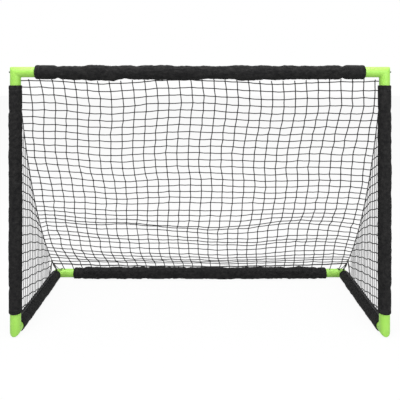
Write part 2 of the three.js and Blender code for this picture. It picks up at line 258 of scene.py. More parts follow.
class Paint(Nodes):
    """One material and the nodes in it."""

    def __init__(self, name: str, **constants: float | Colour) -> None:
        """Starts a material with a Principled surface.

        Args:
            name: The material's name.
            constants: Values of the surface's sockets that are the same all over, by name with _ for spaces.
        """
        self.material = bpy.data.materials.new(name)
        super().__init__(self.material)
        values = {key.replace("_", " "): value for key, value in constants.items()}
        self.surface = self.node("ShaderNodeBsdfPrincipled", inputs=values)
        self.output = self.node("ShaderNodeOutputMaterial", inputs={"Surface": self.surface.outputs[0]})

    def mask(self, name: str, sharpness: float) -> Number:
        """Returns a piece's own mask, an attribute of its mesh that is 1 on the marked vertices.

        Args:
            name: The attribute's name.
            sharpness: The power that draws its edge in.
        """
        return self.number(self.node("ShaderNodeAttribute", {"attribute_name": name}), "Fac") ** sharpness

    def uv(self) -> tuple[Number, Number]:
        """Returns the two numbers of the piece's own UV map, which are metres on cloth and cords."""
        split = self.node("ShaderNodeSeparateXYZ", inputs={0: self.node("ShaderNodeUVMap").outputs[0]})
        return self.number(split, 0), self.number(split, 1)

    def cloud(self, scale: float, detail: float, stretch: tuple[float, float, float] | None = None) -> Number:
        """Adds soft noise on Object coordinates.

        Args:
            scale: Lumps in a metre.
            detail: How many finer layers it has.
            stretch: How much finer it is along each axis, where it isn't the same all round.

        Returns:
            The noise, about 0 to 1.
        """
        place = self.node("ShaderNodeTexCoord").outputs["Object"]
        if stretch is not None:
            place = self.node("ShaderNodeMapping", inputs={"Vector": place, "Scale": stretch}).outputs[0]
        wanted = {"Vector": place, "Scale": scale, "Detail": detail}
        return self.number(self.node("ShaderNodeTexNoise", inputs=wanted))

    def mix(self, first: object, second: object, share: Number) -> bpy.types.NodeSocket:
        """Mixes two colours.

        Args:
            first: The colour, or colour socket, at share 0.
            second: The one at share 1.
            share: How much of the second there is.

        Returns:
            The mixed colour's socket.
        """
        made = self.node("ShaderNodeMix", {"data_type": "RGBA"}, {0: share, 6: first, 7: second})
        return made.outputs[2]

    def finish(
        self,
        colour: bpy.types.NodeSocket | None = None,
        roughness: Number | None = None,
        height: Number | None = None,
        depth: float = 0.0005,
        strength: float = 1.0,
    ) -> bpy.types.Material:
        """Links what varies into the surface.

        Args:
            colour: The base colour.
            roughness: The roughness.
            height: The relief, 0 to 1.
            depth: How deep the relief is, in metres.
            strength: How strongly the relief shows.

        Returns:
            The material.
        """
        links = {"Base Color": colour, "Roughness": roughness and roughness.socket}
        if height is not None:
            relief = {"Strength": strength, "Distance": depth, "Height": height}
            links["Normal"] = self.node("ShaderNodeBump", inputs=relief).outputs[0]
        for name, socket in links.items():
            if socket is not None:
                self.tree.links.new(socket, self.surface.inputs[name])
        return self.material


@dataclass(frozen=True)
class Finish(ABC):
    """A finish makes its material once and hands out the same one after that."""

    name: str = "finish"
    made: ClassVar[dict[str, bpy.types.Material]] = {}

    @property
    def material(self) -> bpy.types.Material:
        """The finish's material."""
        if self.name not in self.made:
            self.made[self.name] = self.mixed()
        return self.made[self.name]

    @abstractmethod
    def mixed(self) -> bpy.types.Material:
        """Makes the material."""


@dataclass(frozen=True)
class MouldedPlastic(Finish):
    """Lime polypropylene with a fine moulded grain and a raised parting line."""

    name: str = "lime_plastic"
    colour: Colour = (0.420, 0.835, 0.118, 1.0)
    shade: Colour = (0.350, 0.760, 0.085, 1.0)
    scuff: Colour = (0.560, 0.930, 0.300, 1.0)
    streak: float = 22.0  # flow marks in a metre
    scratch: float = 160.0  # scuffs in a metre
    scratch_way: tuple[float, float, float] = (1, 2.2, 0.6)  # how much finer they are along each axis
    grain: float = 1400.0  # lumps in a metre

    def mixed(self) -> bpy.types.Material:
        """Mixes streaky flow marks, scuffs and grain.

        Returns:
            The material.
        """
        paint = Paint(self.name, Specular_IOR_Level=0.48)
        flow = paint.cloud(self.streak, 4.0)
        scratches = paint.cloud(self.scratch, 5.0, self.scratch_way)
        worn = (scratches + flow * 0.35) ** 6.0
        tone = paint.mix(self.shade, self.colour, flow * 1.5)
        line = paint.mask("parting", 10.0)
        return paint.finish(
            colour=paint.mix(tone, self.scuff, worn * 0.35),
            roughness=0.36 + flow * 0.10 + worn * 0.20,
            height=paint.cloud(self.grain, 2.0) * 0.22 + line * 0.8,
            depth=0.00035,
            strength=0.55,
        )


@dataclass(frozen=True)
class WovenCloth(Finish):
    """Black woven polyester, on a UV map in metres: u along the sleeve and v round it."""

    name: str = "sleeve_cloth"
    colour: Colour = (0.0095, 0.0095, 0.0102, 1.0)
    # the paler tone: real lint, and painted light and shade on the streaks and thread crowns
    lint: Colour = (0.040, 0.039, 0.038, 1.0)
    seam_thread: Colour = (0.055, 0.055, 0.057, 1.0)
    thread: float = 0.0011  # from one thread to the next
    stitch: float = 0.0045  # from one stitch to the next
    stitch_share: float = 0.72  # of that in sight
    fluff: float = 900.0  # specks of lint in a metre
    fade: float = 14.0  # faded clouds in a metre
    rub: float = 105.0  # streaks of painted crease light and shade in a metre
    rub_way: tuple[float, float, float] = (0.55, 1, 0.75)  # how much finer they are along each axis
    nap: float = 420.0  # soft lumps in a metre

    def mixed(self) -> bpy.types.Material:
        """Mixes over-and-under weave, lint, painted streaks of crease light and shade, paler thread crowns as a
        painted highlight, and dashed stitching.

        Returns:
            The material.
        """
        paint = Paint(self.name, Specular_IOR_Level=0.12)
        along, round_ = paint.uv()
        turn = math.pi / self.thread
        warp, weft = (along * turn).sine(), (round_ * turn).sine()
        over = warp * weft * 0.5 + 0.5
        weave = over * warp * warp + (1.0 - over) * (weft * weft)
        lint = paint.cloud(self.fluff, 4.0) ** 5.0
        faded = paint.cloud(self.fade, 4.0)
        # painted light and shade of creases: paler and darker streaks along the sleeve, not placed on its
        # modelled creases
        rubbed = paint.cloud(self.rub, 2.0, self.rub_way)
        dash = ((along + round_) * (1 / self.stitch)).fraction() < self.stitch_share
        thread = paint.mask("stitch", 6.0) * dash
        # lint specks are the cloth's own; the streaks and the paler thread crowns of the weave are painted
        # light and shade
        lint_and_painted_light = lint * 3.0 + (faded - 0.40) * 0.30 + (rubbed - 0.44) * 1.3 + weave * 0.08
        return paint.finish(
            colour=paint.mix(paint.mix(self.colour, self.lint, lint_and_painted_light), self.seam_thread, thread),
            roughness=0.74 + faded * 0.16 - weave * 0.05,
            height=weave * 0.45 + thread * 0.9 + paint.cloud(self.nap, 3.0) * 0.35,
            depth=0.0006,
            strength=0.8,
        )


@dataclass(frozen=True)
class TwistedCord(Finish):
    """Black twisted polyethylene cord, on a UV map: u in metres along it and v once round it, 0 to 1."""

    name: str = "net_cord"
    colour: Colour = (0.014, 0.014, 0.015, 1.0)
    # paler tone: painted sheen on the ply and fibre crowns, and real worn places
    sheen_and_wear: Colour = (0.038, 0.038, 0.040, 1.0)
    lay: float = 0.0065  # length in which a ply goes once round
    plies: int = 3
    sheen_and_wear_turns: float = 5.0  # of the fibres in that length
    fibres: float = 19.0  # round the cord
    wear: float = 60.0  # worn places in a metre

    def mixed(self) -> bpy.types.Material:
        """Mixes slanting plies and fibres, whose crowns are painted paler as a painted sheen, with worn places.

        Returns:
            The material.
        """
        paint = Paint(self.name, Specular_IOR_Level=0.4)
        along, round_ = paint.uv()
        ply, fibres = (
            ((along * (turns / self.lay) + round_ * strands) * (2 * math.pi)).sine() * 0.5 + 0.5
            for turns, strands in ((1, float(self.plies)), (self.sheen_and_wear_turns, self.fibres))
        )
        worn = paint.cloud(self.wear, 3.0)
        return paint.finish(
            # painted highlight: ply and fibre crowns are paler where the relief stands highest; the worn places
            # are real wear
            colour=paint.mix(self.colour, self.sheen_and_wear, ply * 0.35 + fibres * 0.20 + worn * 0.25),
            roughness=0.50 + worn * 0.22 - ply * 0.06,
            height=ply * 0.8 + fibres * 0.2,
            depth=0.0004,
            strength=0.8,
        )


@dataclass(frozen=True)
class DrawnSteel(Finish):
    """Zinc-plated steel with drawing lines and a clouded plating."""

    name: str = "drawn_steel"
    colour: Colour = (0.560, 0.570, 0.580, 1.0)
    dull: Colour = (0.330, 0.335, 0.345, 1.0)
    bloom: float = 38.0  # clouds in a metre
    drawing: float = 900.0  # lines in a metre
    drawing_way: tuple[float, float, float] = (1, 1, 0.15)

    def mixed(self) -> bpy.types.Material:
        """Mixes clouded plating and drawing lines.

        Returns:
            The material.
        """
        paint = Paint(self.name, Metallic=1.0)
        clouds = paint.cloud(self.bloom, 5.0)
        lines = paint.cloud(self.drawing, 2.0, self.drawing_way)
        return paint.finish(
            colour=paint.mix(self.colour, self.dull, clouds * 1.1 - 0.15),
            roughness=0.26 + clouds * 0.18 + lines * 0.08,
            height=lines * 0.6 + clouds * 0.2,
            depth=0.0002,
            strength=0.4,
        )


@dataclass(frozen=True)
class PowderCoat(Finish):
    """Black powder coat with the soft dimples of orange peel."""

    name: str = "powder_coat"
    colour: Colour = (0.030, 0.030, 0.033, 1.0)
    rubbed: Colour = (0.085, 0.085, 0.088, 1.0)
    bloom: float = 30.0  # clouds in a metre
    peel: float = 700.0  # dimples in a metre

    def mixed(self) -> bpy.types.Material:
        """Mixes rubbed places and dimples.

        Returns:
            The material.
        """
        paint = Paint(self.name, Specular_IOR_Level=0.45)
        clouds = paint.cloud(self.bloom, 4.0)
        return paint.finish(
            colour=paint.mix(self.colour, self.rubbed, clouds**4.0),
            roughness=0.38 + clouds * 0.16,
            height=paint.cloud(self.peel, 1.0),
            depth=0.0001,
            strength=0.35,
        )


class Finishes(Enum):
    """The finishes of the goal and the record's slot that each belongs to."""

    PLASTIC = (MouldedPlastic(), "elbow_plastic", 30.0)
    CLOTH = (WovenCloth(), "sleeve_fabric", 70.0)
    CORD = (TwistedCord(), "net_cord", 80.0)
    CORNER_CORD = (TwistedCord("corner_cord", lay=0.009, plies=2), "net_cord", 80.0)
    TUBE = (PowderCoat(), "tube_steel", 35.0)
    SPRING = (DrawnSteel(), "spring_steel", 35.0)

    @property
    def material(self) -> bpy.types.Material:
        """The finish's material."""
        return self.value[0].material

    @property
    def slot(self) -> str:
        """The record's material slot."""
        return self.value[1]

    @property
    def sharp(self) -> float:
        """Degrees from which an edge of such a piece stays sharp."""
        return self.value[2]


# ---- Shared making ----


def mesh_of(name: str, bm: bmesh.types.BMesh) -> bpy.types.Mesh:
    """Makes a bmesh a mesh.

    Args:
        name: The mesh's name.
        bm: The bmesh. It is freed.

    Returns:
        The mesh.
    """
    mesh = bpy.data.meshes.new(name)
    bm.to_mesh(mesh)
    bm.free()
    return mesh


def linked(name: str, data: bpy.types.ID) -> bpy.types.Object:
    """Makes an object in the scene.

    Args:
        name: The object's name.
        data: Its mesh, light or camera.

    Returns:
        The object.
    """
    made = bpy.data.objects.new(name, data)
    bpy.context.scene.collection.objects.link(made)
    return made


def smooth_up_to(mesh: bpy.types.Mesh, sharp: float) -> None:
    """Shades a mesh smooth, with edges sharp from that many degrees."""
    mesh.shade_smooth()
    mesh.set_sharp_from_angle(angle=math.radians(sharp))


def piece(
    name: str,
    bm: bmesh.types.BMesh,
    finish: Finishes,
    node: str,
    body: str | None = "frame",
) -> bpy.types.Object:
    """Makes a bmesh a finished piece of the goal.

    Args:
        name: The piece's name.
        bm: Its shape, in the frame's place. It is freed.
        finish: Its finish.
        node: The CAD node that it stands for.
        body: The body that it rides on, or None for a piece that is left on no body.

    Returns:
        The piece's object.
    """
    mesh = mesh_of(name, bm)
    smooth_up_to(mesh, finish.sharp)
    made = linked(name, mesh)
    mesh.materials.append(finish.material)
    if body is not None:
        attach(made, body)
    finish.slot
    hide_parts(node)
    LOG.info("%s: %d faces for %s", name, len(mesh.polygons), node)
    return made


def seal(bm: bmesh.types.BMesh, ends: bool = False) -> None:
    """Closes a rolled or spun shape.

    Args:
        bm: The shape. Its seams are merged and its faces turned outwards.
        ends: Whether its open ends are filled.
    """
    bmesh.ops.remove_doubles(bm, verts=bm.verts, dist=MERGE)
    if ends:
        bmesh.ops.holes_fill(bm, edges=[edge for edge in bm.edges if edge.is_boundary], sides=0)
    bmesh.ops.recalc_face_normals(bm, faces=bm.faces)


def round_route(points: Sequence[Vector], spans: int) -> list[Vector]:
    """Runs a smooth curve through points.

    Args:
        points: What it goes through.
        spans: Stations from one point to the next.

    Returns:
        The stations.
    """
    ends = [points[0] * 2 - points[1], *points, points[-1] * 2 - points[-2]]
    route = []
    for before, start, stop, after in zip(ends, ends[1:], ends[2:], ends[3:]):
        for step in range(spans):
            t = step / spans
            route.append(
                0.5
                * (
                    2 * start
                    + (stop - before) * t
                    + (2 * before - 5 * start + 4 * stop - after) * t**2
                    + (3 * start - before - 3 * stop + after) * t**3
                )
            )
    return [*route, points[-1].copy()]


def lengths_along(route: Sequence[Vector]) -> list[float]:
    """Measures a route.

    Args:
        route: Its stations.

    Returns:
        How far along it each of them lies.
    """
    total = [0.0]
    for start, stop in zip(route, route[1:]):
        total.append(total[-1] + (stop - start).length)
    return total


def along_route(route: Sequence[Vector], lengths: Sequence[float], share: float) -> Vector:
    """Finds a place on a route.

    Args:
        route: Its stations.
        lengths: How far along it each of them lies.
        share: The share of its whole length.

    Returns:
        The place.
    """
    target = lengths[-1] * share
    for i in range(1, len(route)):
        if lengths[i] >= target:
            part = (target - lengths[i - 1]) / (lengths[i] - lengths[i - 1])
            return route[i - 1].lerp(route[i], part)
    return route[-1].copy()


def directions_along(route: Sequence[Vector]) -> list[Vector]:
    """Returns the direction of a route at each of its stations."""
    last = len(route) - 1
    return [(route[min(i + 1, last)] - route[max(i - 1, 0)]).normalized() for i in range(last + 1)]


def roll_cord(bm: bmesh.types.BMesh, route: Sequence[Vector], radius: float, sides: int) -> None:
    """Rolls a flat grid round a route, with a UV map of metres along and share round.

    Args:
        bm: What the cord is added to. Its seam is merged later.
        route: The stations of the cord's axis.
        radius: The cord's radius.
        sides: Faces round it.
    """
    steps = len(route) - 1
    layer = bm.loops.layers.uv.verify()
    made = bmesh.ops.create_grid(bm, x_segments=steps, y_segments=sides, size=0.5, calc_uvs=True)
    along = directions_along(route)
    side = along[0].orthogonal().normalized()
    sides_at = []
    for i, direction in enumerate(along):
        if i:
            side = along[i - 1].rotation_difference(direction) @ side
        sides_at.append(side.copy())
    total = lengths_along(route)[-1]
    circle = [(math.cos(2 * math.pi * k / sides), math.sin(2 * math.pi * k / sides)) for k in range(sides)]
    # the grid is 1 m square about its middle, so where a vertex lies in it gives its station and its turn
    faces = {face for vert in made["verts"] for face in vert.link_faces}
    for face in faces:
        for loop in face.loops:
            loop[layer].uv.x *= total
    for vert in made["verts"]:
        i, k = round((vert.co.x + 0.5) * steps), round((vert.co.y + 0.5) * sides)
        c, s = circle[k % sides]
        across = along[i].cross(sides_at[i])
        vert.co = route[i] + (sides_at[i] * c + across * s) * radius


class Bundle:
    """Closed strands, each made by itself, which is far quicker than all in one large shape."""

    def __init__(self) -> None:
        """Starts an empty bundle."""
        self.meshes: list[bpy.types.Mesh] = []

    def add(self, strand: bmesh.types.BMesh) -> None:
        """Closes a strand and takes it in. It is freed."""
        seal(strand, ends=True)
        self.meshes.append(mesh_of("strand", strand))

    def tied(self) -> bmesh.types.BMesh:
        """Ties the strands together, and removes what they were made in.

        Returns:
            All of them as one shape.
        """
        whole = bmesh.new()
        for mesh in self.meshes:
            whole.from_mesh(mesh)
            bpy.data.meshes.remove(mesh)
        self.meshes.clear()
        return whole


# ---- Elbows and snap buttons ----


@dataclass(frozen=True)
class Arm:
    """One socket of an elbow: where it points and where its snap button looks out."""

    name: str
    along: Vector
    button_faces: Vector


# slide a ring of the first arm, or of the second, along it to the mitre plane
FIRST_TO_MITRE = Matrix(((0, 0, 1, 0), (0, 1, 0, 0), (0, 0, 1, 0), (0, 0, 0, 1)))
SECOND_TO_MITRE = Matrix(((1, 0, 0, 0), (0, 1, 0, 0), (1, 0, 0, 0), (0, 0, 0, 1)))


@dataclass
class Elbow:
    """A mitred right-angle elbow with two sockets and a button hole in each."""

    name: str
    at: Vector
    arms: tuple[Arm, Arm]
    places: Places
    reach: float = 0.095  # from the corner to the mouth of a socket
    sides: int = 64
    corner_round: float = 0.004
    corner_steps: int = 5
    mouth_round: float = 0.0009
    mouth_steps: int = 2
    parting_reach: float = 1e-5  # from the middle plane, of the vertices on the parting line
    hole_radius: float = 0.0043
    hole_sides: int = 32
    rod: float = 0.02  # length of the rod that cuts a hole
    rod_out: float = 0.006  # of its middle past the button's

    def turned(self) -> Matrix:
        """Turns the elbow's own axes, with its arms along +X and +Z, to its place.

        Returns:
            The matrix.
        """
        first, second = (arm.along for arm in self.arms)
        axes = Matrix((first, second.cross(first), second)).transposed()
        return Matrix.Translation(self.at) @ axes.to_4x4()

    def ring(
        self, bm: bmesh.types.BMesh, before: list[bmesh.types.BMEdge], move: Matrix
    ) -> list[bmesh.types.BMEdge]:
        """Extrudes a ring of edges and moves the new one.

        Args:
            bm: The elbow's shape.
            before: The edges that are extruded.
            move: What is done to the new ring.

        Returns:
            The new ring's edges.
        """
        made = bmesh.ops.extrude_edge_only(bm, edges=before)["geom"]
        bmesh.ops.transform(bm, matrix=move, verts=[v for v in made if isinstance(v, bmesh.types.BMVert)])
        return [edge for edge in made if isinstance(edge, bmesh.types.BMEdge)]

    def shell(self) -> bmesh.types.BMesh:
        """Draws the wall out along one arm, over the mitre, and back inside the bore.

        Returns:
            The elbow's shape in its own axes.
        """
        bm = bmesh.new()
        outer, inner = self.places.elbow_radius, self.places.socket_radius
        stand = Matrix.Translation((self.reach, 0, 0)) @ Matrix.Rotation(math.pi / 2, 4, "Y")
        bmesh.ops.create_circle(bm, cap_ends=False, radius=outer, segments=self.sides, matrix=stand)
        mouth = list(bm.edges)
        to_second_mouth = Matrix.Translation((0, 0, self.reach)) @ Matrix.Diagonal((1, 1, 0, 1))
        to_first_mouth = Matrix.Translation((self.reach, 0, 0)) @ Matrix.Diagonal((0, 1, 1, 1))
        inwards = Matrix.Diagonal((inner / outer, inner / outer, 1, 1))
        mitre = self.ring(bm, mouth, FIRST_TO_MITRE)
        far = self.ring(bm, mitre, to_second_mouth)
        far_inside = self.ring(bm, far, inwards)
        inside_mitre = self.ring(bm, far_inside, SECOND_TO_MITRE)
        near_inside = self.ring(bm, inside_mitre, to_first_mouth)
        bmesh.ops.bridge_loops(bm, edges=mouth + near_inside)
        parting = bm.verts.layers.float.new("parting")
        for vert in bm.verts:
            vert[parting] = float(abs(vert.co.y) < self.parting_reach)
        for edges, size, steps in (
            (mitre, self.corner_round, self.corner_steps),
            (mouth + far, self.mouth_round, self.mouth_steps),
        ):
            bmesh.ops.bevel(
                bm, geom=edges, offset=size, segments=steps, profile=0.5, material=-1, affect="EDGES"
            )
        bmesh.ops.recalc_face_normals(bm, faces=bm.faces)
        return bm

    def make(self) -> bpy.types.Object:
        """Makes the elbow and bores its button holes.

        Returns:
            The elbow.
        """
        bm = self.shell()
        bmesh.ops.transform(bm, matrix=self.turned(), verts=bm.verts)
        made = piece(f"elbow_shell_{self.name}", bm, Finishes.PLASTIC, f"elbow_{self.name}")
        cutter = self.hole_cutter()
        hole = made.modifiers.new("button holes", "BOOLEAN")
        hole.object, hole.operation, hole.solver = cutter, "DIFFERENCE", "EXACT"
        graph = bpy.context.evaluated_depsgraph_get()
        bored = bpy.data.meshes.new_from_object(made.evaluated_get(graph))
        made.modifiers.clear()
        made.data = bored
        bored.name = made.name
        bpy.data.objects.remove(cutter)
        smooth_up_to(bored, Finishes.PLASTIC.sharp)
        return made

    def hole_cutter(self) -> bpy.types.Object:
        """Makes a rod through each button hole.

        Returns:
            The rods, a temporary object.
        """
        bm = bmesh.new()
        for arm in self.arms:
            button = middle(f"snap_button_{self.name}_{arm.name}")
            turn = UP.rotation_difference(arm.button_faces).to_matrix().to_4x4()
            bmesh.ops.create_cone(
                bm,
                cap_ends=True,
                segments=self.hole_sides,
                radius1=self.hole_radius,
                radius2=self.hole_radius,
                depth=self.rod,
                matrix=Matrix.Translation(button + arm.button_faces * self.rod_out) @ turn,
            )
        return linked("button_rods", mesh_of("button_rods", bm))


@dataclass
class SnapButton:
    """A domed steel button on a flat collar, spun about its own axis."""

    label: str
    faces: Vector
    radius: float = 0.0039
    dome: float = 0.0013
    dome_steps: int = 8
    collar_radius: float = 0.0055
    collar: float = 0.001
    sides: int = 40

    def make(self) -> bpy.types.Object:
        """Spins the button, which rides on its own body.

        Returns:
            The button.
        """
        node = f"snap_button_{self.label}"
        centre, half = middle(node), half_length(node, self.faces)
        base, crown = centre - self.faces * half, centre + self.faces * half
        height = (crown - base).length
        out = self.faces.orthogonal().normalized()
        rim = self.collar_radius
        profile = [(0.0, 0.0), (rim, 0.0), (rim, self.collar), (self.radius, self.collar)]
        for step in range(self.dome_steps + 1):
            angle = math.pi / 2 * step / self.dome_steps
            profile.append((self.radius * math.cos(angle), height - self.dome + self.dome * math.sin(angle)))
        bm = bmesh.new()
        verts = [bm.verts.new(base + out * reach + self.faces * up) for reach, up in profile]
        edges = [bm.edges.new(pair) for pair in zip(verts, verts[1:])]
        bmesh.ops.spin(
            bm,
            geom=verts + edges,
            cent=base,
            axis=self.faces,
            angle=2 * math.pi,
            steps=self.sides,
            use_merge=True,
        )
        seal(bm)
        return piece(f"button_cap_{self.label}", bm, Finishes.SPRING, node, f"button_{self.label}")


@dataclass
class LeafSpring:
    """A V of flat spring steel in a tube: one leg lies on the tube's wall, the other holds the button out."""

    label: str
    corner: Vector  # where the elbow's axes meet
    along: Vector  # the tube's way from there
    faces: Vector  # the way the button looks
    thickness: float = 0.0008
    width: float = 0.008
    bend_radius: float = 0.004
    bend_steps: int = 16
    pad: float = 0.005  # flat length each side of the button

    def make(self) -> bpy.types.Object:
        """Bends the spring.

        Returns:
            The spring.
        """
        node = f"leaf_spring_{self.label}"
        button = middle(f"snap_button_{self.label}")
        along = self.along if (middle(node) - button).dot(self.along) > 0 else -self.along
        under_button = self.corner + along * (button - self.corner).dot(along)
        spread = [corner - under_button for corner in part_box(node)]
        half = self.thickness / 2
        lower, upper = sorted(corner.dot(self.faces) for corner in spread)
        lower, upper = lower + half, upper - half
        bend = max(corner.dot(along) for corner in spread) - half - self.bend_radius
        path = [(-self.pad, upper), (self.pad, upper)]
        for step in range(self.bend_steps + 1):
            angle = math.pi / 2 - math.pi * step / self.bend_steps
            path.append((bend + self.bend_radius * math.cos(angle), self.bend_radius * math.sin(angle)))
        path += [(self.pad, lower), (-self.pad, lower)]
        route = [under_button + along * reach + self.faces * up for reach, up in path]
        side = along.cross(self.faces)
        bm = bmesh.new()
        edges = []
        for at, direction in zip(route, directions_along(route)):
            out = side.cross(direction) * half
            edges.append([bm.verts.new(at + way - side * self.width / 2) for way in (out, -out)])
        for (outer, inner), (next_outer, next_inner) in zip(edges, edges[1:]):
            bm.faces.new((outer, next_outer, next_inner, inner))
        made = bmesh.ops.extrude_face_region(bm, geom=list(bm.faces), use_keep_orig=True)["geom"]
        moved = [vert for vert in made if isinstance(vert, bmesh.types.BMVert)]
        bmesh.ops.translate(bm, verts=moved, vec=side * self.width)
        bmesh.ops.recalc_face_normals(bm, faces=bm.faces)
        spring = piece(f"spring_leaf_{self.label}", bm, Finishes.SPRING, node, body=None)
        top = under_button + self.faces * (upper - half)
        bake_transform(spring)
        return spring


@dataclass
class Corners:
    """The six elbows, their twelve buttons and springs, and the finish of the tubes inside them."""

    places: Places
    made: list[bpy.types.Object] = field(default_factory=list)

    def elbows(self) -> list[Elbow]:
        """Sets out the elbows, each with the ways its arms and buttons point.

        Returns:
            The six elbows.
        """
        p = self.places
        found = []
        for side in Side:
            inwards = ACROSS * -side.value
            for name, y, z, arms in (
                ("top", p.front, p.bar, (Arm("bar", inwards, BACKWARDS), Arm("post", -UP, BACKWARDS))),
                ("foot", p.front, p.base, (Arm("post", UP, BACKWARDS), Arm("side", BACKWARDS, UP))),
                ("rear", p.rear, p.base, (Arm("bar", inwards, BACKWARDS), Arm("side", -BACKWARDS, UP))),
            ):
                at = Vector((side.value * p.half_width, y, z))
                found.append(Elbow(f"{name}_{side.word}", at, arms, p))
        return found

    def build(self) -> None:
        """Makes the elbows, buttons and springs, and powder-coats the CAD's own tubes."""
        for elbow in self.elbows():
            self.made.append(elbow.make())
            for arm in elbow.arms:
                label = f"{elbow.name}_{arm.name}"
                self.made.append(SnapButton(label, arm.button_faces).make())
                self.made.append(LeafSpring(label, elbow.at, arm.along, arm.button_faces).make())
        for name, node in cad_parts.items():
            if "_tube" in name:
                node.data.materials.clear()
                node.data.materials.append(Finishes.TUBE.material)
                LOG.info("%s: %s", name, Finishes.TUBE.material.name)


# ---- Sleeves ----


class Hem(Enum):
    """How a sleeve ends."""

    GATHERED = 0.0055  # puffed: rounded over this length
    SQUARE = 0.0025  # cut square, with a turned edge


